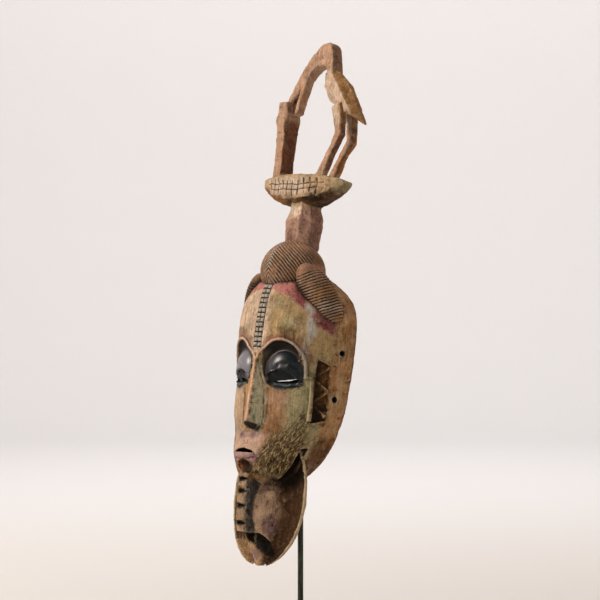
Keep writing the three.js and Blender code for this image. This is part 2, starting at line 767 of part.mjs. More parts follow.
// The platform is a boat: flat top, upright sides with a bowed lower edge, and a keel below
function platformBoat() {
  const rings = [];
  for (let i = 0; i <= platformSteps; i++) {
    const s = -Math.cos(Math.PI * (i / platformSteps)) * 0.995;
    const x = platform.x + platform.half * s;
    const wide = platformHalf(x);
    const tilt = platformTilt * Math.max(s, 0) ** 2;
    const top = platform.top - platform.endDrop * Math.abs(s) ** 3 - tilt;
    const rim = top - 3 + 2 * s * s;
    const low = Math.min(platform.low + platform.endRise * s * s - tilt, rim - 1);
    const keel = Math.min(platform.keel + 25 * s * s, low - 1);
    const half = [[-0.82, top], [0.82, top], [1, rim], [0.92, low], [0.45, keel]];
    const outline = [...half, [-0.45, keel], [-0.92, low], [-1, rim]];
    rings.push(outline.map(([part, z]) => new THREE.Vector3(x, crestY + part * wide, z)));
  }
  return loft(rings);
}

// Lines cut into the platform's front face: short ones across, and long ones in straight pieces
function platformCuts() {
  const { first, pitch, count, low, high, wide, deep } = platformLines;
  const last = first + pitch * (count - 1);
  const rise = (x) => 4 * Math.abs(x / platform.half);
  const face = (x) => crestY - platformHalf(x) * 0.97;
  const cuts = [];
  for (let i = 0; i < count; i++) {
    const x = first + pitch * i;
    const bar = new THREE.BoxGeometry(wide, 2 * deep, high - low);
    bar.translate(x, face(x), (low + high) / 2 + rise(x));
    cuts.push(toSolid(bar));
  }
  const long = (last - first) / platformLongLines.pieces;
  for (const part of platformLongLines.parts) {
    for (let i = 0; i < platformLongLines.pieces; i++) {
      const from = first + long * i;
      const middle = from + long / 2;
      const bar = new THREE.BoxGeometry(long * 1.02, 3 * deep, wide);
      bar.rotateY(-Math.atan2(rise(from + long) - rise(from), long));
      bar.rotateZ(Math.atan2(face(from + long) - face(from), long));
      bar.translate(middle, (face(from) + face(from + long)) / 2, low + (high - low) * part + rise(middle));
      cuts.push(toSolid(bar));
    }
  }
  return joined(cuts);
}

// The bird in one outline: beak tips, head, arched neck and breast, with the slot of its open beak
function birdOutline() {
  const shape = new THREE.Shape();
  shape.moveTo(-45.5, 274);
  shape.quadraticCurveTo(-40, 291, -27, 310);
  shape.quadraticCurveTo(-17, 325, -4.5, 335);
  shape.quadraticCurveTo(3.5, 344, 12.5, 344);
  shape.quadraticCurveTo(21.5, 343, 23.5, 330);
  shape.lineTo(27.5, 308);
  shape.lineTo(27, 298);
  shape.lineTo(21, 297);
  shape.lineTo(15.8, 306);
  shape.quadraticCurveTo(16, 316.5, 8, 317);
  shape.quadraticCurveTo(-7, 316.5, -13.5, 302);
  shape.quadraticCurveTo(-18.7, 286, -23.5, 268);
  shape.lineTo(-30.4, 266);
  shape.lineTo(-27.8, 276.5);
  shape.lineTo(-22.4, 294.6);
  shape.lineTo(-38.2, 277.5);
  shape.closePath();
  return shape;
}

function bird() {
  const options = {
    depth: 1,
    curveSegments: 4,
    bevelEnabled: true,
    bevelThickness: 0.5,
    bevelSize: 1.4,
    bevelOffset: -1.4,
    bevelSegments: 1,
  };
  const geometry = new THREE.ExtrudeGeometry(birdOutline(), options);
  geometry.rotateX(Math.PI / 2);
  const position = geometry.attributes.position;
  for (let i = 0; i < position.count; i++) {
    const half = between(birdDepths, "x", position.getX(i), "half");
    const inward = THREE.MathUtils.clamp((-position.getY(i) - 0.5) / 0.5, -2, 2) / 2;
    position.setY(i, crestY - half * inward);
  }
  return toSolid(geometry);
}

// The body is a leaf: a narrow breast and spine with a ridge along each wing
function birdBody() {
  return loft(bodySections.map(({ z, breast, ridge, spine, front, half }) => {
    const side = [[breast, front], [ridge, half], [spine, Math.min(spineHalf, half / 3)]];
    const far = side.map(([x, y]) => new THREE.Vector3(x, crestY + y, z));
    const near = side.map(([x, y]) => new THREE.Vector3(x, crestY - y, z)).reverse();
    return [...far, ...near];
  }));
}

// The two legs, the far one with its knee a little lower
function birdLegs() {
  const far = legSections.map((station) => ({ ...station }));
  far[2].z -= farKneeDrop;
  return limb(legSections, crestY - legSpread, 0.3).add(limb(far, crestY + legSpread, 0.3));
}

function carving() {
  let mask = headBlock().add(nose()).add(earFrontEdge()).add(mirrored(earFrontEdge()));
  for (const cut of [eyeCut(), earCut()]) mask = mask.subtract(cut).subtract(mirrored(cut));
  for (const form of [brow(), eyeLids(), earZigzag()]) mask = mask.add(form).add(mirrored(form));
  mask = mask.add(hairSide(leftLobe)).add(mirrored(hairSide(rightLobe)));
  mask = mask.add(scarSquares()).add(hairMiddle());
  mask = mask.subtract(jawSide()).subtract(mirrored(jawSide()));
  mask = mask.add(beardPlate().subtract(moundEnd())).add(beardBraid());
  mask = mask.subtract(chinCut()).add(mouthLip()).subtract(mouthCut());
  mask = mask.subtract(hollow());
  const pierced = [underLidCut(), eyeSlit(), ...tieHoles.map(tieHole)];
  for (const cut of pierced) mask = mask.subtract(cut).subtract(mirrored(cut));
  mask = mask.add(neckPost()).add(platformBoat().subtract(platformCuts()));
  return mask.add(limb(postSections, crestY, 0.25)).add(bird()).add(birdBody()).add(birdLegs());
}

function rodBody(radius, bottom, top) {
  const rod = new THREE.CylinderGeometry(radius, radius, top - bottom, rodSides);
  rod.rotateX(Math.PI / 2);
  rod.translate(0, 0, (top + bottom) / 2);
  return rod;
}

function footPlate() {
  const half = footSide / 2 - footChamfer;
  const shape = new THREE.Shape();
  shape.moveTo(half, -half + footCorner);
  shape.absarc(half - footCorner, half - footCorner, footCorner, 0, Math.PI / 2);
  shape.absarc(-half + footCorner, half - footCorner, footCorner, Math.PI / 2, Math.PI);
  shape.absarc(-half + footCorner, -half + footCorner, footCorner, Math.PI, 1.5 * Math.PI);
  shape.absarc(half - footCorner, -half + footCorner, footCorner, 1.5 * Math.PI, 2 * Math.PI);
  const plate = new THREE.ExtrudeGeometry(shape, {
    depth: footHeight - 2 * footChamfer,
    curveSegments: 3,
    bevelThickness: footChamfer,
    bevelSize: footChamfer,
    bevelSegments: 1,
  });
  plate.translate(0, 0, footChamfer);
  const seat = rodBody(rodRadius + fitGap, footHeight - rodSeatDepth - fitGap, footHeight + 5);
  return toSolid(plate).subtract(toSolid(seat));
}

// The outer shell alone, so that a crumb of air shut in between two forms is solid wood
function withoutPockets(solid) {
  return solid.decompose().reduce((most, one) => (one.volume() > most.volume() ? one : most));
}

// The carving is made in its own frame, leant back and cut clear of the rod's tip
function placedMask() {
  const group = new THREE.Matrix4().makeRotationX(-maskLean);
  group.setPosition(0, maskBehindRod, eyeHeight);
  const geometry = toGeometry(carving());
  geometry.applyMatrix4(group);
  const seat = toSolid(rodBody(rodRadius + fitGap, eyeHeight - 60, rodTop + fitGap));
  return withoutPockets(toSolid(geometry).subtract(seat));
}

function named(name, geometry, finish) {
  const mesh = new THREE.Mesh(geometry, new THREE.MeshStandardMaterial(finish));
  mesh.name = name;
  return mesh;
}

const part = new THREE.Group();
part.add(named("mask", toGeometry(placedMask()), woodPaint));
part.add(named("stand_rod", rodBody(rodRadius, footHeight - rodSeatDepth, rodTop), rodSteel));
part.add(named("stand_foot", toGeometry(footPlate()), footSteel));

export default part;
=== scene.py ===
# Guro mask on its rod stand: the carved and painted wood, the steel rod and the plain foot.
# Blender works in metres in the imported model's frame. Sizes in the dictionaries are millimetres.
import bpy
import math
import numpy as np
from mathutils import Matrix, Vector
from mathutils.kdtree import KDTree


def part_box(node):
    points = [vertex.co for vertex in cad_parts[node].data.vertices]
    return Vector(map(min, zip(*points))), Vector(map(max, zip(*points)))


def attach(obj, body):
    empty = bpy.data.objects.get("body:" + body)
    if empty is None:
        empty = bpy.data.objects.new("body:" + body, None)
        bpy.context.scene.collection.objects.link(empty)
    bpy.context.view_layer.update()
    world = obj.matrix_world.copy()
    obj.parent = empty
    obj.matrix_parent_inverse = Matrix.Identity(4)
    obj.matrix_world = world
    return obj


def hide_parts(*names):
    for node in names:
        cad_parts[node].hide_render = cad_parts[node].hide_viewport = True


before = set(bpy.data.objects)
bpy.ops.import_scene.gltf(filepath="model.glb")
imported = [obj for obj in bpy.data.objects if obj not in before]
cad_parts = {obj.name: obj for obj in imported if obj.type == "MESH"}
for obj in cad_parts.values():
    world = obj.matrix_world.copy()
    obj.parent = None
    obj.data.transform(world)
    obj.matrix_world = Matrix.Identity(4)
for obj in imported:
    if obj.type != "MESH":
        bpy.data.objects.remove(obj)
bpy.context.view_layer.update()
mm = 0.001
print("frame loaded")

# How the carving stands on the rod: leaning back, its back opening's middle behind the rod
stance = {"lean": math.radians(9), "behindRod": 9, "eyeHeight": 300}

# The head's plain skin at rising heights: z, half width, where it is widest, depth, squareness
headRows = [
    (-134, 12, 40, 62, 2.05), (-131, 22, 36, 70, 2.05), (-124, 30, 29, 75, 2.05),
    (-114, 36.5, 22, 78, 2.05), (-103, 43.5, 15, 79.5, 2.05), (-90, 51, 12, 75, 2.1),
    (-80, 56.5, 8, 70.8, 2.2), (-68, 61.5, 6, 69.3, 2.3), (-50, 66, 2, 70, 2.25),
    (-25, 68.5, 0, 72.5, 2.1), (0, 70, 0, 75.5, 2.08), (30, 70, 0, 75.5, 2.25),
    (52, 67, 0, 74, 2.3), (65, 60, 0, 71.5, 2.3), (74, 50, 0, 68, 2.3),
    (83, 36, 0, 62, 2.3), (92, 18, 0, 46, 2.3),
]
eye = {"x": 31, "z": -16, "wide": 22.5, "deep": 13.5, "high": 24, "inset": 11}
socket = {"x": 28.5, "z": -11.5, "wide": 26, "deep": 8.5, "high": 26, "inset": -1}
eyeLedge = {"x": 32, "z": -33.5, "half": 17, "rise": 6}
browArch = {"x": 29.3, "z": -10, "wide": 22.2, "high": 26.3}
noseForm = {"z": (-82, -71.5, -55, -35, -20, -4), "half": (13, 16.5, 17.5, 17, 10, 2.4)}
scarForm = {"pitch": 5.2, "top": 72, "step": 5.6, "half": 2.0, "proud": 1.1, "cut": 0.8}
tieHoles = [(-17.5, 8.6), (-18.5, -40)]
beardForm = {"z": -147.5, "half": 53, "high": 73.5, "rim": 34, "tipForward": 6}
moundForm = {"high": 38, "from": -166, "to": -220, "dish": 4, "neck": (-152, -126), "loss": 0.45}
underMound = {"z": (-225, -219.5, -212.5, -205.5, -198.5, -191.5, -186, -183.5),
              "half": (0, 15.5, 22, 21, 17.5, 13, 7, 0)}
jawCut = {"x": (4, 12.2, 18.2, 24.2, 32.5, 35.4, 52), "z": (-129.9, -125.6, -119, -112.5, -98.4, -94.5, -92)}
crestForm = {"y": -27, "platformX": -1.5, "platformHalf": 65, "platformDeep": 18.5}
braidNotches = (-132, -144.5, -159.5, -177)
gridForm = {"lines": (-44, -37, -29.5, -22, -15, -7, 1.5, 10, 18.5, 27), "low": 175, "high": 191}

# The three lobes of hair: middle, the way its axes point, half sizes, and the ribs' own direction
ribs = {"pitch": 3.0, "deep": 1.15, "rings": 6, "segments": 120, "bed": 2.4}
sideWays = ((0.45, 0.4, -0.8), (0.78, -0.53, 0.33))
lobes = {
    "middle": {"centre": (-4, -35, 92.5), "ways": ((1, 0, 0), (0, 1, 0)),
               "half": (37.8, 37.8, 34.5), "cut": (0.5, 0.5, 0.707)},
    "left": {"centre": (46, -37.8, 68), "ways": sideWays,
             "half": (37.5, 14.8, 18.7), "cut": (-0.29, -0.27, 0.92)},
    "right": {"centre": (43.1, -41.4, 62.6), "ways": sideWays,
              "half": (31.5, 13.2, 18.7), "cut": (-0.29, -0.27, 0.92)},
}


# Numbers that the carving and its paint share

def smooth(low, high, value):
    t = np.clip((value - low) / (high - low), 0, 1)
    return t * t * (3 - 2 * t)


def toCarving(points):
    # World metres to the carving's own upright millimetres
    c, s = math.cos(stance["lean"]), math.sin(stance["lean"])
    x, y, z = (points / mm).T
    y = y - stance["behindRod"]
    z = z - stance["eyeHeight"]
    return np.stack([x, y * c - z * s, y * s + z * c], axis=1)


def toWorld(local):
    c, s = math.cos(stance["lean"]), math.sin(stance["lean"])
    x, y, z = local.T
    up = stance["eyeHeight"] - y * s + z * c
    return np.stack([x, stance["behindRod"] + y * c + z * s, up], axis=1) * mm


def turnToCarving(ways):
    c, s = math.cos(stance["lean"]), math.sin(stance["lean"])
    x, y, z = ways.T
    return np.stack([x, y * c - z * s, y * s + z * c], axis=1)


def wander(points, size, seed):
    # Smooth random values from -1 to 1 that change over a size
    q = points / size
    base = np.floor(q).astype(np.int64)
    t = q - base
    t = t * t * (3 - 2 * t)
    total = np.zeros(len(points))
    for corner in range(8):
        step = np.array([(corner >> k) & 1 for k in range(3)])
        cell = base + step
        mixed = cell[:, 0] * 374761393 + cell[:, 1] * 668265263 + cell[:, 2] * 2147483647
        mixed = (mixed + seed * 1274126177) & 0xFFFFFFFF
        mixed = ((mixed ^ (mixed >> 13)) * 1274126177) & 0xFFFFFFFF
        value = ((mixed ^ (mixed >> 16)) & 0xFFFF) / 32767.5 - 1
        total += np.prod(np.where(step, t, 1 - t), axis=1) * value
    return total


def cloud(points, size, seed):
    # Wander at three sizes at once, for natural edges and mottling
    fine = 0.5 * wander(points, size / 2.1, seed + 1) + 0.3 * wander(points, size / 4.3, seed + 2)
    return (wander(points, size, seed) + fine) / 1.2


def between(z, column):
    # The smooth curve through the head's rows that the solid was built with
    keys = [row[0] for row in headRows]
    values = [row[column] for row in headRows]
    last = len(keys) - 1
    i = min(max(int(np.searchsorted(keys, z, side="right")) - 1, 0), last - 1)
    span = keys[i + 1] - keys[i]
    a, b = max(i - 1, 0), min(i + 2, last)
    startSlope = (values[i + 1] - values[a]) / (keys[i + 1] - keys[a])
    endSlope = (values[b] - values[i]) / (keys[b] - keys[i])
    s = min(max((z - keys[i]) / span, 0), 1)
    rise = values[i + 1] - values[i]
    p, q = startSlope * span - rise, rise - endSlope * span
    return values[i] + rise * s + s * (1 - s) * (p * (1 - s) + q * s)


headHeights = np.linspace(headRows[0][0], headRows[-1][0], 900)
headCurves = [np.array([between(z, k) for z in headHeights]) for k in range(1, 5)]


def headAt(z):
    return [np.interp(z, headHeights, curve) for curve in headCurves]


def skinRatio(p):
    # 1 on the head's plain skin, more outside it
    half, widest, depth, square = headAt(p[:, 2])
    a = np.abs(p[:, 0]) / half
    b = np.clip(-p[:, 1] - widest, 0, None) / (depth - widest)
    return (a ** square + b ** square + 1e-9) ** (1 / square), widest


def skinOffset(p):
    # Millimetres outside the head's plain skin
    ratio, widest = skinRatio(p)
    return np.hypot(p[:, 0], p[:, 1] + widest) * (1 - 1 / ratio)


def frontDepth(x, z):
    half, widest, depth, square = headAt(z)
    s = np.clip(np.abs(x) / half, 0, 1)
    return widest + (depth - widest) * (1 - s ** square) ** (1 / square)


def skinTurn(x, z):
    near, far = frontDepth(np.array([x - 3.0, x + 3.0]), np.array([z, z]))
    return math.atan2(near - far, 6)


def inEgg(p, form):
    # A place in a stretched ball's own directions, on the given side, in parts of its half sizes
    turn = skinTurn(form["x"], form["z"])
    depth = float(frontDepth(np.array([form["x"]]), np.array([form["z"]]))[0])
    aside = math.sin(turn) * form["inset"] * 0.5 if form["inset"] > 0 else 0
    x = np.abs(p[:, 0]) - (form["x"] - aside)
    y = p[:, 1] + depth - form["inset"]
    c, s = math.cos(turn), math.sin(turn)
    ball = np.stack([(x * c + y * s) / form["wide"], (y * c - x * s) / form["deep"],
                     (p[:, 2] - form["z"]) / form["high"]], axis=1)
    return ball, (c, s, form["x"] - aside, form["inset"] - depth)


def eggRatio(p, form):
    return np.linalg.norm(inEgg(p, form)[0], axis=1)


def lobeAxes(lobe):
    along = np.array(lobe["ways"][0], float)
    along /= np.linalg.norm(along)
    out = np.array(lobe["ways"][1], float)
    out -= along * out.dot(along)
    out /= np.linalg.norm(out)
    across = np.cross(along, out)
    return np.stack([along, out, across], axis=1) * np.array(lobe["half"])


def inLobe(p, name):
    # A place in a lobe's own directions; the middle lobe is one half and its mirror
    q = p.copy()
    if name == "middle":
        q[:, 0] = np.abs(q[:, 0])
    if name == "right":
        q[:, 0] = -q[:, 0]
    lobe = lobes[name]
    return np.linalg.solve(lobeAxes(lobe), (q - np.array(lobe["centre"])).T).T


def lobeOffset(p, name):
    # Millimetres outside a lobe, near enough close to its surface
    return (np.linalg.norm(inLobe(p, name), axis=1) - 1) * min(lobes[name]["half"][1:])


def browDistance(p):
    # Millimetres from the brow's ridge, seen from the front
    turns = np.radians(np.linspace(140, -28, 40))
    x = browArch["x"] + browArch["wide"] * np.where(turns < 0, 1, np.cos(turns))
    z = browArch["z"] + browArch["high"] * np.sin(turns)
    x = np.concatenate([[1.2, 3.5], x])
    z = np.concatenate([[-7, 0], z])
    steps = np.linspace(0, len(x) - 1, 160)
    keys = np.arange(len(x))
    best = np.full(len(p), 1e9)
    for px, pz in zip(np.interp(steps, keys, x), np.interp(steps, keys, z)):
        best = np.minimum(best, np.hypot(np.abs(p[:, 0]) - px, p[:, 2] - pz))
    return best


def beardHalf(z):
    return beardForm["half"] * np.sqrt(np.clip(1 - ((z - beardForm["z"]) / beardForm["high"]) ** 2, 0, 1))


def beardRim(z):
    low = np.clip((z - beardForm["z"]) / beardForm["high"], None, 0)
    return beardForm["rim"] + beardForm["tipForward"] * low ** 2


def underHalf(z):
    # Half the width of the arched cut under the mound's lower end
    return np.interp(z, underMound["z"], underMound["half"], left=-9, right=-9)


def beardFront(x, z):
    s = np.clip(np.abs(x) / np.maximum(beardHalf(z), 0.1), 0, 1)
    rise = smooth(moundForm["to"], moundForm["from"], z) * moundForm["high"]
    rise *= 1 - moundForm["loss"] * smooth(*moundForm["neck"], z)
    return beardRim(z) + rise * (1 - s) ** 1.6 - moundForm["dish"] * np.sin(math.pi * s ** 1.5)


def jawZone(p):
    # Where the jaw is covered in short strokes: seen at half turn, under a line and before the ear
    w = (np.abs(p[:, 0]) + p[:, 1]) / math.sqrt(2)
    top = np.interp(w, [-44, -41, -34.5, -26.7, -13.2, 0, 8], [-122, -111, -93, -85, -73, -61, -58])
    edge = 2.5 * cloud(p, 8, 61)
    zone = smooth(6, -5, p[:, 2] - top + edge) * smooth(-46, -41, w) * smooth(15, 6, w + edge)
    zone *= smooth(-0.5, 1.2, p[:, 2] - jawEdge(p)) * smooth(-31, -34, p[:, 1])
    return zone * smooth(2.2, 1, np.abs(skinOffset(p)))


def jawEdge(p):
    # The height of the jaw's cut lower edge; the cut runs forward and outward from the back
    forward = -30 - p[:, 1]
    return np.interp(np.abs(p[:, 0]) - 0.996 * forward, jawCut["x"], jawCut["z"]) - 0.055 * forward


# Working a mesh

def selectOnly(*objects):
    bpy.ops.object.select_all(action="DESELECT")
    for each in objects:
        each.select_set(True)
    bpy.context.view_layer.objects.active = objects[0]


def applyModifier(piece, kind, **settings):
    selectOnly(piece)
    modifier = piece.modifiers.new(kind.title(), kind)
    for name, value in settings.items():
        setattr(modifier, name, value)
    bpy.ops.object.modifier_apply(modifier=modifier.name)


def readPoints(piece):
    flat = np.empty(len(piece.data.vertices) * 3)
    piece.data.vertices.foreach_get("co", flat)
    return flat.reshape(-1, 3)


def readNormals(piece):
    flat = np.empty(len(piece.data.vertices) * 3)
    piece.data.vertices.foreach_get("normal", flat)
    return flat.reshape(-1, 3)


def readEdges(piece):
    flat = np.empty(len(piece.data.edges) * 2, np.int32)
    piece.data.edges.foreach_get("vertices", flat)
    return flat.reshape(-1, 2)


def writePoints(piece, points):
    piece.data.vertices.foreach_set("co", points.reshape(-1))
    piece.data.update()


def nodeCopy(node, name):
    # A CAD node's own mesh stays as it is: the copy is merged and worked
    selectOnly(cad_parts[node])
    bpy.ops.object.duplicate()
    copy = bpy.context.object
    copy.name = name
    copy.data.name = name
    copy.parent = None
    for key in list(copy.keys()):
        del copy[key]
    copy.data.materials.clear()
    selectOnly(copy)
    bpy.ops.object.mode_set(mode="EDIT")
    bpy.ops.mesh.select_all(action="SELECT")
    bpy.ops.mesh.remove_doubles(threshold=1e-6)
    bpy.ops.object.mode_set(mode="OBJECT")
    return copy


def neighbourMean(values, edges, rounds):
    # Each vertex's value averaged with its neighbours', again and again
    count = np.bincount(edges.reshape(-1), minlength=len(values))[:, None]
    out = values.copy()
    for _ in range(rounds):
        total = np.zeros_like(out)
        for k in range(out.shape[1]):
            total[:, k] += np.bincount(edges[:, 0], out[edges[:, 1], k], len(out))
            total[:, k] += np.bincount(edges[:, 1], out[edges[:, 0], k], len(out))
        out = 0.4 * out + 0.6 * total / np.maximum(count, 1)
    return out


# The carving: the solid remeshed, drawn back to round forms, cut over with a blade
carve = {"voxel": 0.75, "triangles": 150000, "faceSize": 8.5, "hollowSize": 13, "crestSize": 7.5}


def snapToForms(p):
    # The solid's coarse facets go back to the round forms they stand for
    ratio, widest = skinRatio(p)
    offset = np.hypot(p[:, 0], p[:, 1] + widest) * (1 - 1 / ratio)
    inFront = smooth(0, 2, -p[:, 1] - widest) * smooth(-130, -124, p[:, 2]) * smooth(90, 84, p[:, 2])
    brow = np.where(p[:, 1] < -30, browDistance(p), 9)
    pull = inFront * smooth(1.7, 0.9, np.abs(offset)) * smooth(1.2, 2.6, brow)
    p[:, 0] += pull * (p[:, 0] / ratio - p[:, 0])
    p[:, 1] += pull * ((p[:, 1] + widest) / ratio - widest - p[:, 1])
    for form in (socket, eye):
        ball, (c, s, middleX, middleY) = inEgg(p, form)
        r = np.linalg.norm(ball, axis=1)
        size = (r - 1) * form["deep"]
        pull = smooth(1.5, 0.9, np.abs(size)) * smooth(-12, -6, offset) * smooth(0.7, 0.1, offset)
        pull *= smooth(-30, -27, p[:, 2]) if form is eye else 1
        fixed = ball / r[:, None] * np.array([form["wide"], form["deep"], form["high"]])
        side = np.sign(p[:, 0])
        goal = np.stack([side * (middleX + fixed[:, 0] * c - fixed[:, 1] * s),
                         middleY + fixed[:, 0] * s + fixed[:, 1] * c, form["z"] + fixed[:, 2]], axis=1)
        p += pull[:, None] * (goal - p)
    front = beardFront(p[:, 0], p[:, 2])
    gap = -p[:, 1] - front
    low = smooth(2, 4, np.maximum(skinOffset(p), -134 - p[:, 2] + 3)) * smooth(-100, -106, p[:, 2])
    pull = low * smooth(2.2, 1.2, np.abs(gap)) * smooth(8.5, 10, np.abs(p[:, 0]))
    pull *= smooth(0.5, 2.5, np.abs(p[:, 0]) - underHalf(p[:, 2])) * smooth(-0.5, -2, p[:, 2] - jawEdge(p))
    p[:, 1] -= pull * (front + p[:, 1])
    return p


def bedLobes(p):
    # The solid's coarse ribs sink under the finely cut lobes that are joined on
    for name in lobes:
        inside = inLobe(p, name)
        away = inside @ np.linalg.inv(lobeAxes(lobes[name]))
        away /= np.maximum(np.linalg.norm(away, axis=1), 1e-9)[:, None]
        if name == "middle":
            away[:, 0] *= np.sign(p[:, 0])
        if name == "right":
            away[:, 0] *= -1
        depth = lobeOffset(p, name)
        p -= away * (ribs["bed"] * smooth(1.6, 0.3, depth) * smooth(-4.5, -2.5, depth))[:, None]
    return p


def cutScars(p):
    x, z = p[:, 0], p[:, 2]
    band = smooth(6.4, 5.4, np.abs(x)) * smooth(6, 8, z) * smooth(76, 74.4, z)
    band *= smooth(4, 3, np.abs(skinOffset(p))) * (p[:, 1] < -40)
    fromColumn = np.abs(np.abs(x) - scarForm["step"] / 2)
    phase = np.mod((scarForm["top"] - z) / scarForm["pitch"] + 0.5, 1) - 0.5
    fromRow = np.abs(phase) * scarForm["pitch"]
    half = scarForm["half"]
    square = smooth(half + 0.45, half - 0.5, fromColumn) * smooth(half + 0.3, half - 0.65, fromRow)
    height = scarForm["proud"] * square - scarForm["cut"] * (1 - square)
    target = -(frontDepth(x, z) + height * (1 + 0.3 * wander(p, 4, 3)))
    p[:, 1] += band * (target - p[:, 1])
    return p


def platformFace(x):
    s = np.clip(np.abs((x - crestForm["platformX"]) / crestForm["platformHalf"]), 0, 1)
    return crestForm["y"] - crestForm["platformDeep"] * (1 - s ** 2.2) ** 0.6 * 0.97


def gridLines(p):
    # How deep in a cut line of the platform's grid each point is, 0 to 1
    q = p + np.stack([0.7 * wander(p, 6, 71), 0 * p[:, 1], 0.8 * wander(p, 7, 72)], axis=1)
    x, z = q[:, 0], q[:, 2]
    near = smooth(2.5, 1.2, np.abs(p[:, 1] - platformFace(p[:, 0])))
    rise = 4 * np.abs(x / crestForm["platformHalf"])
    low, high = gridForm["low"] + rise, gridForm["high"] + rise
    lines = np.zeros(len(p))
    for i, lineX in enumerate(gridForm["lines"]):
        reach = 1.6 * math.sin(i * 7.3)
        within = smooth(low - 1 + reach, low + reach, z) * smooth(high + 1 + reach, high + reach, z)
        wide = 0.5 + 0.06 * i
        lines = np.maximum(lines, smooth(wide + 0.5, wide - 0.4, np.abs(x - lineX)) * within)
    for part, last in ((0.36, 24), (0.72, 36)):
        lineZ = gridForm["low"] + (gridForm["high"] - gridForm["low"]) * part + rise
        within = smooth(-50, -47, x) * smooth(last + 2, last, x)
        lines = np.maximum(lines, smooth(1.1, 0.1, np.abs(z - lineZ)) * within)
    return lines * near


def facetShift(p, n, size, tilt, seed):
    # Flat cuts of the adze: each point is drawn to the plane of the cut nearest to it
    count = max(int(len(p) * (carve["voxel"] ** 2) / size ** 2), 8)
    picks = np.random.default_rng(seed).choice(len(p), count, replace=False)
    tree = KDTree(count)
    for i, k in enumerate(picks):
        tree.insert(p[k], i)
    tree.balance()
    ways = n[picks] + np.random.default_rng(seed + 1).normal(0, tilt, (count, 3))
    ways /= np.linalg.norm(ways, axis=1)[:, None]
    nearest = np.array([[found[1] for found in tree.find_n(q, 3)] for q in p])
    level = np.einsum("ijk,ijk->ij", p[:, None] - p[picks][nearest], ways[nearest])
    deepest = np.argmax(level, axis=1)
    rows = np.arange(len(p))
    return -np.clip(level[rows, deepest], -0.8, 0.8)[:, None] * ways[nearest[rows, deepest]]


def ribbedLobe(name):
    # A ball whose rings run along the ribs, stretched to the lobe and cut ring by ring
    lobe = lobes[name]
    axes = lobeAxes(lobe)
    cut = np.array(lobe["cut"], float)
    cut /= np.linalg.norm(cut)
    pole = axes.T @ cut
    count = int(2 * np.linalg.norm(pole) / ribs["pitch"])
    bpy.ops.object.select_all(action="DESELECT")
    rings = count * ribs["rings"]
    bpy.ops.mesh.primitive_uv_sphere_add(segments=ribs["segments"], ring_count=rings, radius=1)
    ball = bpy.context.object
    ball.name = "hair_" + name
    unit = readPoints(ball)
    height = 1 - 2 * np.arccos(np.clip(unit[:, 2], -1, 1)) / math.pi
    flat = unit[:, :2] / np.maximum(np.linalg.norm(unit[:, :2], axis=1), 1e-9)[:, None]
    flat *= np.sqrt(np.clip(1 - height ** 2, 0, 1))[:, None]
    turn = np.array(Vector((0, 0, 1)).rotation_difference(Vector(pole)).to_matrix())
    unit = np.column_stack([flat, height]) @ turn.T
    local = unit @ axes.T + np.array(lobe["centre"])
    groove = ribGroove(local, height, count / 2, name)
    inward = unit @ np.linalg.inv(axes) * -1
    inward /= np.linalg.norm(inward, axis=1)[:, None]
    local += inward * (groove * ribs["deep"])[:, None]
    if name == "right":
        local[:, 0] *= -1
    writePoints(ball, toWorld(local))
    selectOnly(ball)
    bpy.ops.object.mode_set(mode="EDIT")
    bpy.ops.mesh.select_all(action="SELECT")
    if name == "middle":
        bpy.ops.mesh.bisect(plane_co=(0, 0, 0), plane_no=(1, 0, 0), clear_inner=True)
    bpy.ops.object.mode_set(mode="OBJECT")
    if name == "middle":
        applyModifier(ball, "MIRROR", use_axis=(True, False, False), merge_threshold=0.0002)
    selectOnly(ball)
    bpy.ops.object.mode_set(mode="EDIT")
    bpy.ops.mesh.select_all(action="SELECT")
    bpy.ops.mesh.normals_make_consistent(inside=False)
    bpy.ops.object.mode_set(mode="OBJECT")
    return ball


def ribGroove(local, height, turns, name):
    # 0 on a rib's crest and 1 in the groove; worn away on a lobe's smooth back or upper end
    wobble = 0.2 * wander(local, 13, 7) + 0.1 * wander(local, 5, 8)
    groove = (0.5 + 0.5 * np.cos(2 * math.pi * (height * turns + wobble))) ** 1.3
    worn = 0.85 + 0.5 * wander(local, 7, 9)
    if name == "middle":
        worn *= 0.12 + 0.88 * smooth(-32, -46, local[:, 1] + 5 * wander(local, 8, 10))
    else:
        worn *= smooth(0.74, 0.62, height + 0.06 * wander(local, 7, 10))
    return groove * np.clip(worn, 0, 1.15)


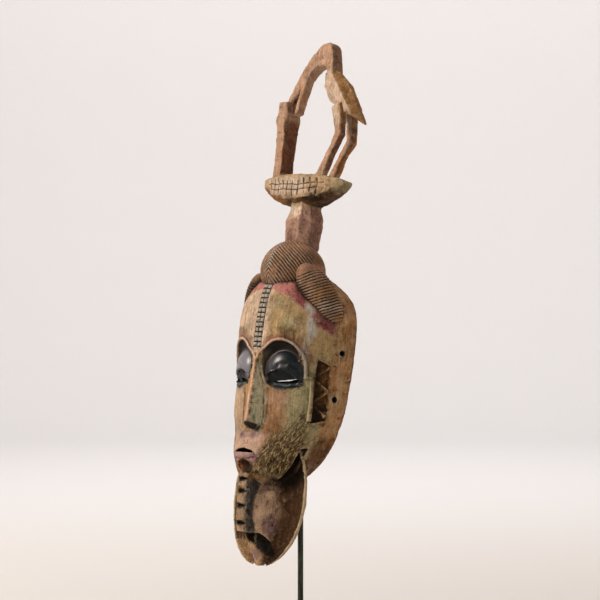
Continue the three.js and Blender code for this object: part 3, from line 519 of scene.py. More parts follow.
def carveMask():
    piece = nodeCopy("mask", "carved_mask")
    applyModifier(piece, "REMESH", mode="VOXEL", voxel_size=carve["voxel"] * mm)
    applyModifier(piece, "SMOOTH", factor=0.5, iterations=3)
    print("remeshed to", len(piece.data.vertices), "points")
    p = cutScars(snapToForms(toCarving(readPoints(piece))))
    writePoints(piece, toWorld(p))
    n = turnToCarving(readNormals(piece))
    p[:, 1] += gridLines(p) * 1.0
    # Adze facets, strong where the wood is left rough and faint on the painted face
    offset = skinOffset(p)
    inside = smooth(4, 6, -offset) * (p[:, 2] < 88) * (p[:, 2] > -120) * (p[:, 1] > -66)
    eyes = smooth(1.15, 1.02, np.minimum(eggRatio(p, eye), eggRatio(p, socket))) * (p[:, 1] < -35)
    scars = smooth(8, 6, np.abs(p[:, 0])) * smooth(4, 8, p[:, 2]) * smooth(78, 75, p[:, 2])
    crest = smooth(112, 118, p[:, 2])
    beard = smooth(-118, -126, p[:, 2]) + smooth(-98, -104, p[:, 2]) * smooth(2, 4, offset)
    rimZone = smooth(-32, -26, p[:, 1]) * (1 - crest)
    amount = 0.3 + 0.35 * rimZone + 0.45 * inside + 0.35 * np.clip(beard, 0, 1) + 0.25 * jawZone(p)
    amount = np.clip(amount, 0, 0.9) * (1 - eyes) * (1 - scars)
    fine = facetShift(p, n, carve["faceSize"], 0.03, 21)
    rough = facetShift(p, n, carve["hollowSize"], 0.045, 31)
    limbs = facetShift(p, n, carve["crestSize"], 0.07, 36)
    shift = (fine * (1 - inside)[:, None] + rough * inside[:, None]) * amount[:, None]
    p += shift * (1 - crest)[:, None] + limbs * (0.8 * crest)[:, None]
    ease = 0.25 * wander(p, 17, 41) + 0.14 * wander(p, 6, 42)
    p += n * (ease * (1 - eyes))[:, None]
    writePoints(piece, toWorld(bedLobes(p)))
    applyModifier(piece, "SMOOTH", factor=0.35, iterations=1)
    share = carve["triangles"] / (2 * len(piece.data.polygons))
    applyModifier(piece, "DECIMATE", ratio=min(share, 1))
    print("carved, and thinned to", len(piece.data.polygons), "faces")
    for name in lobes:
        ball = ribbedLobe(name)
        applyModifier(piece, "BOOLEAN", operation="UNION", object=ball, solver="MANIFOLD")
        bpy.data.objects.remove(ball)
    print("hair joined,", len(piece.data.polygons), "faces")
    # Nothing stands past the solid's own box
    low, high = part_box("mask")
    writePoints(piece, np.clip(readPoints(piece), np.array(low), np.array(high)))
    selectOnly(piece)
    bpy.ops.object.shade_smooth()
    return piece


carvedMask = carveMask()

# The paint on the carving: what each place is coloured with, from the wood outwards. Some colours are painted
# shade and painted light, marked where they are laid
paints = {
    "rawWood": "6a4a30", "rimWood": "aa8050", "rimPale": "bda77c", "rimOrange": "94592a",
    "rimLowShade": "4e3018", "ochre": "a0855a", "greenOchre": "8a8260", "speckle": "5b4a2c",
    "creamFront": "c2aa92", "farEdge": "a8702f", "temple": "ae9264", "cheek": "906c4a",
    "cheekPink": "96705a", "cheekGreen": "96906a", "cheekLowShade": "6b4526", "ridgeLine": "d0a88c",
    "noseSide": "98947a", "noseShade": "4a341e", "upperLip": "b59482", "lipShade": "54404a",
    "lip": "a67c88", "lipEdge": "c49c84", "black": "080706", "underLip": "6e4326",
    "jawTop": "7d7250", "jawBrown": "4c3519", "deepShade": "150e08", "pink": "7e3640",
    "pinkPale": "a65e60", "silver": "b2afa6", "stain": "6c3f30",
    "hairRidge": "80604a", "hairTan": "9a6f42", "hairHighlight": "9a948a", "hairBack": "6f4a2c",
    "neck": "ad8a76", "purpleAndShade": "74504a", "platform": "ab9070", "platformUnderShade": "4a3018",
    "bird": "ae8c74", "litPale": "c4b09c", "wing": "986f44", "crestShade": "5c321e",
    "slotShadeRed": "3c1410", "farLeg": "a8692c", "moundPink": "c6a286", "moundBrown": "402813",
    "moundPurple": "664850", "beardTip": "90714c", "beardEdge": "bda884", "braid": "8e6d50",
    "braidGrey": "4c4a46", "eyeBlack": "090c0e", "lidTeal": "10191d", "lidSheen": "8a8790",
    "ledge": "5a6a6c", "earShade": "24160c", "earLitGold": "6c4a20", "zigzagLit": "a0805a",
    "holeRing": "b8a488", "hairShade": "140c07", "browPale": "c4a08c", "browGrey": "8e8c84",
    "bevel": "5c5440",
}


def linear(code):
    # An sRGB hex colour as linear light
    parts = np.array([int(code[k:k + 2], 16) / 255 for k in (0, 2, 4)])
    return np.where(parts <= 0.04045, parts / 12.92, ((parts + 0.055) / 1.055) ** 2.4)


def readPlace(piece):
    # Everything that the coats of paint ask about each vertex
    p = toCarving(readPoints(piece))
    n = turnToCarving(readNormals(piece))
    means = neighbourMean(p, readEdges(piece), 4)
    at = {"p": p, "n": n, "x": p[:, 0], "y": p[:, 1], "z": p[:, 2], "ax": np.abs(p[:, 0])}
    at["offset"] = skinOffset(p)
    at["bend"] = np.einsum("ij,ij->i", means - p, n)
    at["broad"], at["small"] = cloud(p, 18, 51), cloud(p, 6, 52)
    at["streak"] = wander(p * np.array([1, 1, 0.1]), 2.4, 53)
    at["crest"] = smooth(108, 114, p[:, 2])
    at["head"] = (1 - at["crest"]) * smooth(-1.5, -4, p[:, 1])
    at["skin"] = at["head"] * smooth(5, 3, np.abs(at["offset"])) * smooth(-134, -130, p[:, 2])
    at["face"] = at["skin"] * smooth(-25, -33, p[:, 1] + 3 * at["small"])
    at["tone"] = np.tile(linear(paints["rawWood"]), (len(p), 1))
    return at


def lay(at, name, weight):
    at["tone"] += (linear(paints[name]) - at["tone"]) * np.clip(weight, 0, 1)[:, None]


def patch(at, x, z, wide, high, side=0):
    # A soft patch round a place on the front, on both sides or on one
    across = at["ax"] if side == 0 else at["x"] * side
    reach = np.hypot((across - x) / wide, (at["z"] - z) / high) + 0.35 * at["small"]
    return smooth(1.25, 0.55, reach)


def paintSkin(at):
    x, y, z, ax = (at[key] for key in ("x", "y", "z", "ax"))
    broad, small, streak, face, skin = (at[key] for key in ("broad", "small", "streak", "face", "skin"))
    lay(at, "rimWood", skin)
    lay(at, "rimOrange", skin * smooth(0.0, 0.6, broad + 0.2 * streak) * 0.75)
    lay(at, "rimPale", skin * smooth(0.05, 0.6, streak + 0.3 * small) * 0.7)
    lay(at, "rimOrange", skin * smooth(-18, -6, y + 3 * small) * 0.45)
    # Painted shade: the rim darker towards the bottom
    lay(at, "rimLowShade", skin * smooth(-70, -94, z + 6 * small) * smooth(-42, -32, y) * 0.9)
    lay(at, "ochre", face)
    lay(at, "greenOchre", face * smooth(-0.1, 0.5, broad) * 0.8)
    lay(at, "temple", face * smooth(48, 56, ax + 3 * small) * smooth(-8, 4, z))
    # Cream over the front and the far side, golden on the far edge: paint colour, partly painted light on the
    # side that faces the lamp
    lay(at, "creamFront", face * smooth(17, 10, x + 2 * small) * smooth(-4, 8, z))
    lay(at, "farEdge", face * smooth(-40, -54, x + 5 * small) * 0.75)
    lay(at, "ochre", face * smooth(0.2, 0.7, small) * smooth(-4, 8, z) * 0.5)
    lay(at, "speckle", face * smooth(0.35, 0.75, cloud(at["p"], 3.2, 57)) * smooth(-4, 8, z) * 0.6)
    # Cheeks
    low = face * smooth(-22, -34, z)
    lay(at, "cheek", low)
    lay(at, "cheekPink", low * patch(at, 32, -46, 14, 9))
    lay(at, "cheekGreen", low * smooth(33, 43, ax + 3 * small) * smooth(60, 56, ax) * 0.9)
    lay(at, "cheekGreen", face * smooth(45, 50, ax) * smooth(8, -2, z) * 0.7)
    # Painted shade: brown low on the cheek beside the nose
    lay(at, "cheekLowShade", low * patch(at, 30, -80, 12, 16) * 0.55)
    lay(at, "rimPale", low * smooth(0.1, 0.6, streak) * 0.35)
    # Cream and golden on the far cheek: paint colour, partly painted light on the side that faces the lamp
    lay(at, "creamFront", low * smooth(-8, -16, x) * 0.5)
    lay(at, "farEdge", low * smooth(-38, -52, x) * 0.6)
    # Stain over the brow, and the pale dusty stretch down the temple
    brow = browDistance(at["p"])
    above = smooth(-14, -4, z) * (y < -38) * face
    lay(at, "stain", above * smooth(11, 3, brow + 3 * small) * smooth(4, 12, ax) * 0.75)
    lay(at, "speckle", above * patch(at, 34, 26, 14, 4) * 0.7)
    lay(at, "silver", face * patch(at, 53, 30, 5, 15, 1) * smooth(-0.6, 0.1, streak + small))
    lay(at, "silver", face * patch(at, 50, 4, 3, 14, 1) * 0.35)
    # The pink hairline
    ax2 = ax + 0.8 * small
    line = np.interp(ax2, [0, 10, 28, 38, 47, 53, 59.6, 66], [68.5, 69, 63.5, 56.5, 48.6, 41, 31.8, 25])
    pink = skin * smooth(-1.0, 1.0, z - line) * smooth(-26, -31, y) * smooth(16, 22, z)
    lay(at, "pink", pink)
    lay(at, "pinkPale", pink * smooth(34, 24, ax) * smooth(-0.5, 0.2, small + 0.2))
    lay(at, "silver", pink * smooth(4.5, 2.5, np.abs(ax - 50.5)) * (x > 0) * 0.8)
    # Painted shadow: black along the hair lobes' lower edges over the pink band
    gap = np.minimum(np.abs(lobeOffset(at["p"], "left")), np.abs(lobeOffset(at["p"], "middle")))
    lay(at, "black", pink * smooth(3.4, 0.6, gap + 0.5 * small) * 0.85)
    ridge = smooth(1.9, 0.8, brow) * (y < -30) * at["head"] * smooth(0.5, 1.3, at["offset"])
    lay(at, "browPale", ridge * (0.85 + 0.3 * small))
    lay(at, "browGrey", ridge * smooth(28, 46, ax + 4 * small))


def paintNose(at):
    x, y, z, ax = (at[key] for key in ("x", "y", "z", "ax"))
    half = np.interp(z, noseForm["z"], noseForm["half"])
    reach = smooth(half + 1, half - 0.5, ax) * smooth(-84, -82, z) * smooth(-3, -8, z)
    nose = (y < -50) * reach * smooth(-0.6, 0.4, at["offset"])
    lay(at, "noseSide", nose)
    lay(at, "greenOchre", nose * smooth(-0.1, 0.6, at["streak"]) * 0.6)
    lay(at, "noseShade", nose * smooth(4.4, 3.2, ax + 0.5 * at["small"]) * 0.85)
    # Painted light: golden on the nose's far side only, the side that faces the lamp
    lay(at, "farEdge", nose * (x < -1) * 0.7)
    lay(at, "ridgeLine", nose * smooth(2.1, 1.1, ax))
    ridge = (y < -60) * smooth(2.4, 1.2, ax) * smooth(-9, -5, z) * smooth(6, 2, z)
    lay(at, "browPale", ridge)
    lay(at, "noseShade", (y < -50) * smooth(1.6, 0.5, np.abs(ax - half)) * smooth(-20, -28, z)
        * smooth(-80, -76, z) * at["face"] * 0.85)
    # Painted shade: black on the nose's underside
    under = z + 4 * np.clip(ax / 16.5, 0, 1)
    tip = (y < -55) * smooth(half + 1.2, half - 0.4, ax) * smooth(0.1, 1, at["offset"])
    lay(at, "black", tip * smooth(-70.4, -72, under) * smooth(-84, -82, z))
    lay(at, "lipShade", at["face"] * smooth(17, 12, ax) * smooth(-80, -82, z) * smooth(-90, -84, z) * 0.8)
    # Lip and chin
    lipReach = smooth(24, 15, ax + 2 * at["small"]) * smooth(-80, -85, z) * smooth(-114, -105, z)
    lay(at, "upperLip", at["face"] * lipReach)
    lay(at, "lipShade", at["face"] * patch(at, 8, -86, 9, 3.5) * 0.75)
    mouth = (y < -50) * smooth(17.5, 15.5, ax)
    lay(at, "lip", mouth * smooth(-103, -104.5, z) * smooth(-112, -110.4, z + 0.012 * ax ** 2))
    lay(at, "lipEdge", mouth * smooth(1.0, 0.2, np.abs(z + 105.2)) * 0.3)
    lay(at, "black", mouth * smooth(-0.3, -1.8, at["offset"]) * smooth(-106, -104, z) * smooth(-93, -95, z))
    chin = (y < -45) * smooth(1.15, 0.85, np.hypot(x / 13, (z + 119) / 8))
    lay(at, "underLip", chin * at["head"])
    # Painted shade: near black on the chin's near side
    lay(at, "deepShade", chin * at["head"] * smooth(-5, 2, x + at["small"]) * 0.9)


def paintEyes(at):
    p, y, z, ax, n = (at[key] for key in ("p", "y", "z", "ax", "n"))
    front = (y < -35) * at["head"]
    holeRatio, lidRatio = eggRatio(p, socket), eggRatio(p, eye)
    inSocket = smooth(1.06, 1.0, holeRatio) * smooth(0.4, -0.5, at["offset"]) * front
    lid = smooth(1.10, 1.04, lidRatio) * front * smooth(-34, -29, z)
    lay(at, "eyeBlack", inSocket)
    inner = inSocket * (1 - smooth(1.22, 1.14, lidRatio)) * smooth(19, 13, ax) * smooth(8, 0, z)
    lay(at, "bevel", inner * 0.8)
    lay(at, "lidTeal", lid)
    # Painted sheen: grey-lilac on the near lid's upper part, streaked, and over the far lid's upper part
    lay(at, "lidSheen", lid * patch(at, 23, -8, 9, 12, 1) * smooth(-0.6, 0.4, at["streak"]) * 0.22)
    lay(at, "lidSheen", lid * (at["x"] < 0) * smooth(-28, -24, z) * 0.7)
    across = (ax - eyeLedge["x"]) / eyeLedge["half"]
    ledgeZ = eyeLedge["z"] + eyeLedge["rise"] * across ** 2
    ledge = front * smooth(3.9, 2.3, np.abs(z - ledgeZ)) * smooth(1.15, 1.0, np.abs(across))
    ledge *= smooth(-6, -3, at["offset"])
    lay(at, "eyeBlack", ledge)
    # Painted highlight: paler teal-grey on the lower lid's upward-facing top
    lay(at, "ledge", ledge * smooth(0.0, 0.6, n[:, 2]) * smooth(0.2, 1.6, z - ledgeZ) * 0.8)
    at["gloss"] = np.clip(np.maximum(0.25 * inSocket, lid) + 0.6 * ledge, 0, 1)
    # Painted shade: black wherever the carving sinks deep round the eye slits
    deep = front * smooth(-4.5, -6.5, at["offset"]) * smooth(-20, -24, z) * (ax < 52) * (ax > 10)
    lay(at, "eyeBlack", deep * smooth(-44, -38, z))
    # Ears and tie holes
    rear = np.interp(z, [-63, -6], [-23, -28.5])
    ear = (ax > 40) * smooth(-44, -41.5, y) * smooth(0.6, -0.8, y - rear)
    ear = ear * smooth(0, -2, z) * smooth(-69, -67, z)
    # Painted shade and light in the ear: dark deep in its recess, golden towards its rear and on the shallow
    # parts, pale on the zigzag crests
    lay(at, "earShade", ear)
    lay(at, "earLitGold", ear * smooth(-0.6, 0.4, at["broad"]) * smooth(-40, -30, y) * 0.8)
    lay(at, "earLitGold", ear * smooth(-2.6, -0.8, at["offset"]) * 0.8)
    lay(at, "zigzagLit", ear * smooth(-0.1, -0.4, at["bend"]) * smooth(-2.6, -0.8, at["offset"]) * 0.6)
    for holeY, holeZ in tieHoles:
        fromHole = np.hypot(y - holeY, z - holeZ)
        lay(at, "holeRing", smooth(6.5, 4.2, fromHole) * at["head"] * (ax > 40) * 0.7)
        # Painted shade: black inside the tie holes
        lay(at, "black", smooth(3.8, 3.2, fromHole) * (ax > 30))


def paintBeard(at):
    p, x, y, z, ax = (at[key] for key in ("p", "x", "y", "z", "ax"))
    broad, small, streak, offset = (at[key] for key in ("broad", "small", "streak", "offset"))
    cutAway = at["head"] * smooth(-90, -95, z) * smooth(-0.6, -1.6, offset) * smooth(-58, -50, y)
    offHead = np.maximum(smooth(1.5, 3, offset), smooth(-130, -134, z))
    beard = (1 - at["crest"]) * smooth(-94, -100, z) * offHead
    belowJaw = at["head"] * smooth(0.3, -1.2, z - jawEdge(p)) * (ax > 3)
    belowJaw = belowJaw * smooth(-31, -34, y) * smooth(-90, -93, z)
    beard = np.maximum(beard, np.maximum(belowJaw, cutAway * smooth(-28, -33, y)))
    lay(at, "moundBrown", np.maximum(beard, cutAway))
    front = -y - beardRim(z)
    # Pink where the mound stands out, brown towards the near rim: paint colour, partly painted light and
    # shade
    lay(at, "moundPink", beard * smooth(30, 12, x + 7 * broad) * smooth(4, 10, front) * smooth(-206, -196, z))
    lay(at, "rimPale", beard * smooth(0.25, 0.6, streak + 0.3 * small) * smooth(26, 12, x) * 0.55)
    lay(at, "moundPurple", beard * patch(at, 19, -178, 6, 12) * 0.85)
    # Painted shadow: near black on the beard's top, under the jaw's overhang
    lay(at, "deepShade", beard * smooth(-150, -130, z + 5 * small - 0.25 * (ax - 8)) * smooth(8, 11, ax))
    lay(at, "beardTip", beard * smooth(-190, -198, z + 2 * small) * smooth(10, -2, x + 4 * small))
    lay(at, "moundPurple", beard * patch(at, -7, -209, 9, 7, 1) * 0.8)
    lay(at, "moundBrown", beard * smooth(-196, -202, z) * smooth(0, 12, x + 4 * small) * 0.7)
    # The cut under the mound and the place beside the braid's end are black above a falling line: painted
    # shadow under the mound's overhang
    lowEdge = np.interp(x, [-30, -22, -10, 0, 8, 22], [-181, -192, -198, -204.5, -207.5, -211])
    besideEnd = smooth(-184, -187, z) * smooth(-32, -27, x) * (x < 2)
    lay(at, "black", beard * besideEnd * smooth(-1, 2, z - lowEdge))
    inside = smooth(-0.6, 1.2, underHalf(z) - ax) * smooth(-181, -183, z) * beard
    lay(at, "black", inside * smooth(-1.5, 1.5, z - lowEdge + small) * smooth(30, 20, front))
    # Pale along the beard's rim: cream paint, partly a painted highlight on the thin edge
    edge = beard * smooth(2.2, 1.0, np.abs(ax - beardHalf(z))) * smooth(-24, -30, y)
    lay(at, "beardEdge", edge)
    braid = beard * smooth(8.6, 7.4, ax) * smooth(-52, -58, y) * smooth(-189, -187, z)
    lay(at, "braidGrey", braid)
    lay(at, "braid", braid * smooth(5.4, 4.2, ax + 0.8 * small))
    lay(at, "braidGrey", braid * smooth(0.2, 0.6, small) * 0.5)
    scratch = beard * smooth(2.2, 0.8, np.abs(ax - 9.5 - 1.2 * small)) * smooth(-200, -190, z)
    lay(at, "beardEdge", scratch * smooth(-124, -134, z) * smooth(-0.3, 0.4, streak) * 0.8)
    onBraid = braid * smooth(-8, -6, x) * smooth(6, 4, ax)
    # Painted shade: black across the braid at its notches
    for notchZ in braidNotches:
        lay(at, "black", onBraid * smooth(3.4, 2.4, np.abs(z - notchZ + 0.8 * small)))
    back = (1 - at["crest"]) * smooth(-104, -110, z) * smooth(0, 3, y + beardRim(z) - 4)
    lay(at, "rawWood", back)


def paintHair(at):
    p, x, y, z = (at[key] for key in ("p", "x", "y", "z"))
    hair = np.zeros(len(p))
    for name in lobes:
        size = lobeOffset(p, name)
        hair = np.maximum(hair, smooth(-1.9, -1.3, size) * smooth(0.9, 0.4, size))
    neck = smooth(112, 120, z) * smooth(26, 22, np.hypot(x, y - crestForm["y"]))
    hair *= 1 - neck * smooth(0.5, 1.5, lobeOffset(p, "middle"))
    lay(at, "hairRidge", hair)
    lay(at, "hairTan", hair * smooth(-0.1, 0.5, at["broad"]) * smooth(-66, -46, y) * 0.7)
    lay(at, "hairTan", hair * smooth(112, 122, z) * 0.6)
    lay(at, "hairBack", hair * smooth(-44, -30, y + 4 * at["small"]) * smooth(88, 96, z) * 0.85)
    lay(at, "cheekPink", hair * smooth(84, 90, z) * smooth(24, 28, np.abs(x)) * smooth(103, 99, z) * 0.85)
    # Painted highlight: pale grey along the middle lobe's keel and on the rib crests
    keel = hair * smooth(4, 1.5, np.abs(x)) * (y < -50)
    lay(at, "hairHighlight", keel * smooth(90, 96, z) * 0.9)
    lay(at, "hairHighlight", hair * smooth(0.05, 0.3, -at["bend"]) * smooth(0.1, 0.6, at["small"]) * 0.7)
    # Painted shade: near black in the grooves between the ribs
    lay(at, "hairShade", hair * smooth(0.02, 0.22, at["bend"]) * 0.97)
    # Painted shadow along the side lobes' lower edge
    low = z - 56 + 1.13 * (np.abs(x) + y + 14)
    shade = hair * smooth(22, 4, low + 4 * at["small"]) * (np.abs(x) > 20) * smooth(84, 76, z)
    lay(at, "hairShade", shade * 0.8)
    # Painted highlight, not wear: pale grey on the rib crests at the side lobe's outer end
    rubbed = smooth(8, 2, np.abs(z - 55)) * smooth(54, 59, x) * smooth(0, -0.2, at["bend"])
    lay(at, "silver", hair * rubbed * 0.5)


def paintCrest(at):
    x, y, z, n = (at[key] for key in ("x", "y", "z", "n"))
    crest, small, broad = at["crest"], at["small"], at["broad"]
    away = smooth(-1.0, 0.6, lobeOffset(at["p"], "middle"))
    lay(at, "neck", crest * away)
    lay(at, "purpleAndShade", crest * away * smooth(0.0, 0.5, broad) * smooth(164, 158, z) * 0.8)
    # Painted light: pale on the upper neck's facets that face away from the near side
    lay(at, "litPale", crest * away * smooth(148, 155, z + 3 * small) * smooth(0.5, 0.1, n[:, 0]) * 0.95)
    # Painted shade: purple-brown on the neck's facets that face the near side
    lay(at, "purpleAndShade", crest * away * smooth(0.5, 0.9, n[:, 0]) * smooth(164, 160, z) * 0.7)
    onPlatform = smooth(160, 166, z)
    lay(at, "platform", onPlatform)
    # Painted shade: dark on the platform's underside
    under = onPlatform * smooth(0.1, -0.25, n[:, 2]) * smooth(189, 181, z)
    lay(at, "platformUnderShade", under * 0.95)
    # Painted shadow: near black under the platform's near half
    lay(at, "deepShade", under * patch(at, 20, 176, 16, 10, 1) * 0.8)
    farUnder = onPlatform * smooth(0.05, -0.35, n[:, 2]) * smooth(188, 178, z)
    lay(at, "farLeg", farUnder * smooth(-10, -40, x) * 0.6)
    lay(at, "greenOchre", onPlatform * smooth(44, 56, x + 4 * small) * smooth(202, 198, z) * 0.7)
    # Painted light: pale on the grid's raised pads
    pads = smooth(2.5, 1.2, np.abs(y - platformFace(x))) * smooth(24, 4, x) * smooth(-50, -44, x)
    lay(at, "litPale", onPlatform * pads * smooth(175, 178, z) * smooth(196, 193, z) * 0.8)
    bird = smooth(199, 203, z)
    lay(at, "bird", bird)
    lay(at, "purpleAndShade", bird * smooth(0.3, 0.8, small) * 0.45)
    lay(at, "farLeg", bird * smooth(0.2, 0.7, broad) * 0.35)
    # Painted shade: dark on the post's inner face and on the beak's facets towards the near side
    lay(at, "crestShade", bird * smooth(0.2, 0.7, n[:, 0]) * (x < -28) * smooth(264, 258, z) * 0.9)
    lay(at, "crestShade", bird * smooth(0.45, 0.85, n[:, 0]) * (x > 18) * smooth(300, 306, z) * 0.55)
    legs = bird * (x > 20) * smooth(262, 250, z)
    # Painted shade: dark on the legs' faces towards the near side
    lay(at, "crestShade", legs * smooth(0.1, 0.6, n[:, 0]) * 0.85)
    # Painted light: orange on the far leg's lower part, lit through the gap between the legs
    lay(at, "farLeg", legs * smooth(-22, -16, y) * smooth(244, 232, z))
    body = bird * (x > 14) * smooth(316, 308, z) * smooth(249, 254, z)
    # Painted light: pale on the body's facets that face forward
    lay(at, "litPale", body * smooth(-0.1, -0.5, n[:, 1]) * 0.7)
    # Golden on the facets that face the near side: paint colour, partly painted shade
    wing = body * smooth(0.15, 0.4, n[:, 0])
    lay(at, "wing", wing)
    lay(at, "temple", wing * smooth(0.3, 0.7, at["streak"]) * 0.5)
    # Painted shade: dark on the body's underside
    lay(at, "crestShade", body * smooth(-0.15, -0.5, n[:, 2]) * smooth(276, 262, z) * 0.9)
    # Painted shade: dark red on the slot's walls
    slot = bird * smooth(-38, -34, x) * smooth(-21, -24, x) * smooth(268, 272, z) * smooth(297, 293, z)
    lay(at, "slotShadeRed", slot * smooth(0.35, 0.1, np.abs(n[:, 1])))


def writeValue(piece, name, values):
    layer = piece.data.attributes.new(name, "FLOAT", "POINT")
    layer.data.foreach_set("value", values.astype(np.float32))


def paintMask(piece):
    at = readPlace(piece)
    paintSkin(at)
    paintNose(at)
    lay(at, "jawTop", jawZone(at["p"]) * 0.7)
    lay(at, "jawBrown", jawZone(at["p"]) * smooth(-70, -92, at["z"]) * 0.85)
    paintEyes(at)
    paintBeard(at)
    paintHair(at)
    paintCrest(at)
    layer = piece.data.attributes.new("tone", "FLOAT_COLOR", "POINT")
    colours = np.column_stack([at["tone"], np.ones(len(at["p"]))])
    layer.data.foreach_set("color", colours.astype(np.float32).reshape(-1))
    scars = (at["y"] < -40) * smooth(6.4, 6.0, at["ax"]) * smooth(4, 5, at["z"]) * smooth(76, 75, at["z"])
    writeValue(piece, "scars", scars * smooth(4, 3, np.abs(at["offset"])))
    writeValue(piece, "grime", np.clip(at["bend"] / 0.45, 0, 1) * (1 - 0.6 * at["crest"]))
    writeValue(piece, "worn", np.clip(-at["bend"] / 0.6, 0, 1) * (1 - 0.5 * at["crest"]))
    writeValue(piece, "calm", at["crest"])
    writeValue(piece, "gloss", at["gloss"])
    writeValue(piece, "grid", gridLines(at["p"]))
    writeValue(piece, "strokes", jawZone(at["p"]) * (1 - smooth(0.1, 1, at["gloss"])))


paintMask(carvedMask)
print("paint laid")

# The rod and the foot
rodForm = {"radius": 3, "low": 6, "high": 387, "sides": 56, "round": 1.2}
footForm = {"edge": 0.5, "segments": 3}


def makeRod():
    bpy.ops.object.select_all(action="DESELECT")
    middle = (rodForm["low"] + rodForm["high"]) / 2 * mm
    tall = (rodForm["high"] - rodForm["low"]) * mm
    bpy.ops.mesh.primitive_cylinder_add(vertices=rodForm["sides"], radius=rodForm["radius"] * mm,
                                        depth=tall, location=(0, 0, middle))
    rod = bpy.context.object
    rod.name = "drawn_rod"
    bpy.ops.object.transform_apply(location=True, rotation=False, scale=False)
    applyModifier(rod, "BEVEL", width=rodForm["round"] * mm, segments=5, limit_method="ANGLE",
                  angle_limit=math.radians(60))
    selectOnly(rod)
    bpy.ops.object.shade_smooth_by_angle(angle=math.radians(50))
    return rod


def makeFoot():
    foot = nodeCopy("stand_foot", "plain_foot")
    applyModifier(foot, "BEVEL", width=footForm["edge"] * mm, segments=footForm["segments"],
                  limit_method="ANGLE", angle_limit=math.radians(25))
    selectOnly(foot)
    bpy.ops.object.shade_smooth_by_angle(angle=math.radians(30))
    return foot


drawnRod = makeRod()
plainFoot = makeFoot()
print("stand made")


# Materials

# Settings that many nodes share
times, plus, minus = ({"operation": name} for name in ("MULTIPLY", "ADD", "SUBTRACT"))
positive, fraction, divided = ({"operation": name} for name in ("ABSOLUTE", "FRACT", "DIVIDE"))
larger, smaller = ({"operation": name} for name in ("MAXIMUM", "MINIMUM"))
ofColours = {"data_type": "RGBA", "out": 2}


def newMaterial(name):
    material = bpy.data.materials.new(name)
    material.use_nodes = True
    material.node_tree.nodes.clear()
    return material, material.node_tree


def addNode(tree, kind, inputs=(), out=0, **settings):
    # Adds one node. Its inputs, in order or by name, take values or other nodes' outputs, its
    # settings are its own, and the output asked for comes back, or all of them
    node = tree.nodes.new("ShaderNode" + kind)
    for name, value in settings.items():
        setattr(node, name, value)
    named = inputs if isinstance(inputs, dict) else dict(enumerate(inputs))
    for name, value in named.items():
        target = node.inputs[name]
        if isinstance(value, bpy.types.NodeSocket):
            tree.links.new(value, target)
        else:
            target.default_value = value
    return node.outputs if out == "all" else node.outputs[out]


def rgba(code):
    return (*linear(code), 1)


def strength(tree, *factors):
    # How strong a coat is: masks and numbers multiplied. A mask in brackets is first taken over
    # a ramp: the mask, its low and high, and the values there
    total = None
    for factor in factors:
        if isinstance(factor, tuple):
            factor = addNode(tree, "MapRange", factor)
        total = factor if total is None else addNode(tree, "Math", (total, factor), **times)
    return total


def finishMaterial(tree, **inputs):
    sockets = {name.replace("_", " "): value for name, value in inputs.items()}
    shader = addNode(tree, "BsdfPrincipled", sockets)
    addNode(tree, "OutputMaterial", {"Surface": shader}, "all")


# Sizes in millimetres of what is seen in the paint and the wood, and how far it is stretched.
# A noise's largest blots are about as large as its size here
wear = {"grain": 1.5, "grainLong": 0.06, "mottle": 13, "dust": 2.4, "pit": 2.6, "chip": 5, "chipLong": 0.45,
        "strokeWide": 1.6, "strokeLong": 0.27, "strokeLeans": (50, 76), "strayEvery": 7, "strayFar": 3,
        "padEdge": 4, "padWobble": 2.2, "bump": 0.7}
woodTints = {
    "rubbed": "5a3d22", "dust": "cdb594", "speck": "38261a", "pit": "20140b", "ridge": "bda670",
    "trough": "2a1a0c", "grime": "22150c", "bare": "cbb294", "pad": "b4aca0", "padShade": "6e6a60",
    "padCut": "0c0a09", "gridCutShade": "24160c",
}


def strokePattern(tree, local):
    # Short slanting strokes of a narrow chisel at two leans, the same way round on both cheeks
    x, y, z = addNode(tree, "SeparateXYZ", (local,), "all")
    outward = addNode(tree, "Math", (addNode(tree, "Math", (x, 0.0), **positive), y), **plus)
    along = addNode(tree, "Math", (outward, math.sqrt(0.5)), **times)
    flat = addNode(tree, "CombineXYZ", (along, z, 0.0))
    straySize = 1 / (wear["strayEvery"] * mm)
    stray = addNode(tree, "TexNoise", {"Vector": flat, "Scale": straySize, "Detail": 1}, 1)
    far = wear["strayFar"] * mm
    aside = addNode(tree, "VectorMath", (stray, (far, far, 0)), **times)
    bent = addNode(tree, "VectorMath", (flat, aside), **plus)
    sets = []
    for lean in wear["strokeLeans"]:
        turned = addNode(tree, "Mapping", {"Vector": bent, "Rotation": (0, 0, -math.radians(lean))})
        drawn = addNode(tree, "Mapping", {"Vector": turned, "Scale": (wear["strokeLong"], 1, 1)})
        sets.append(addNode(tree, "TexNoise", {"Vector": drawn, "Scale": 1 / (wear["strokeWide"] * mm),
                                               "Detail": 1.5, "Roughness": 0.6}))
    return addNode(tree, "Math", sets, **larger), addNode(tree, "Math", sets, **smaller)


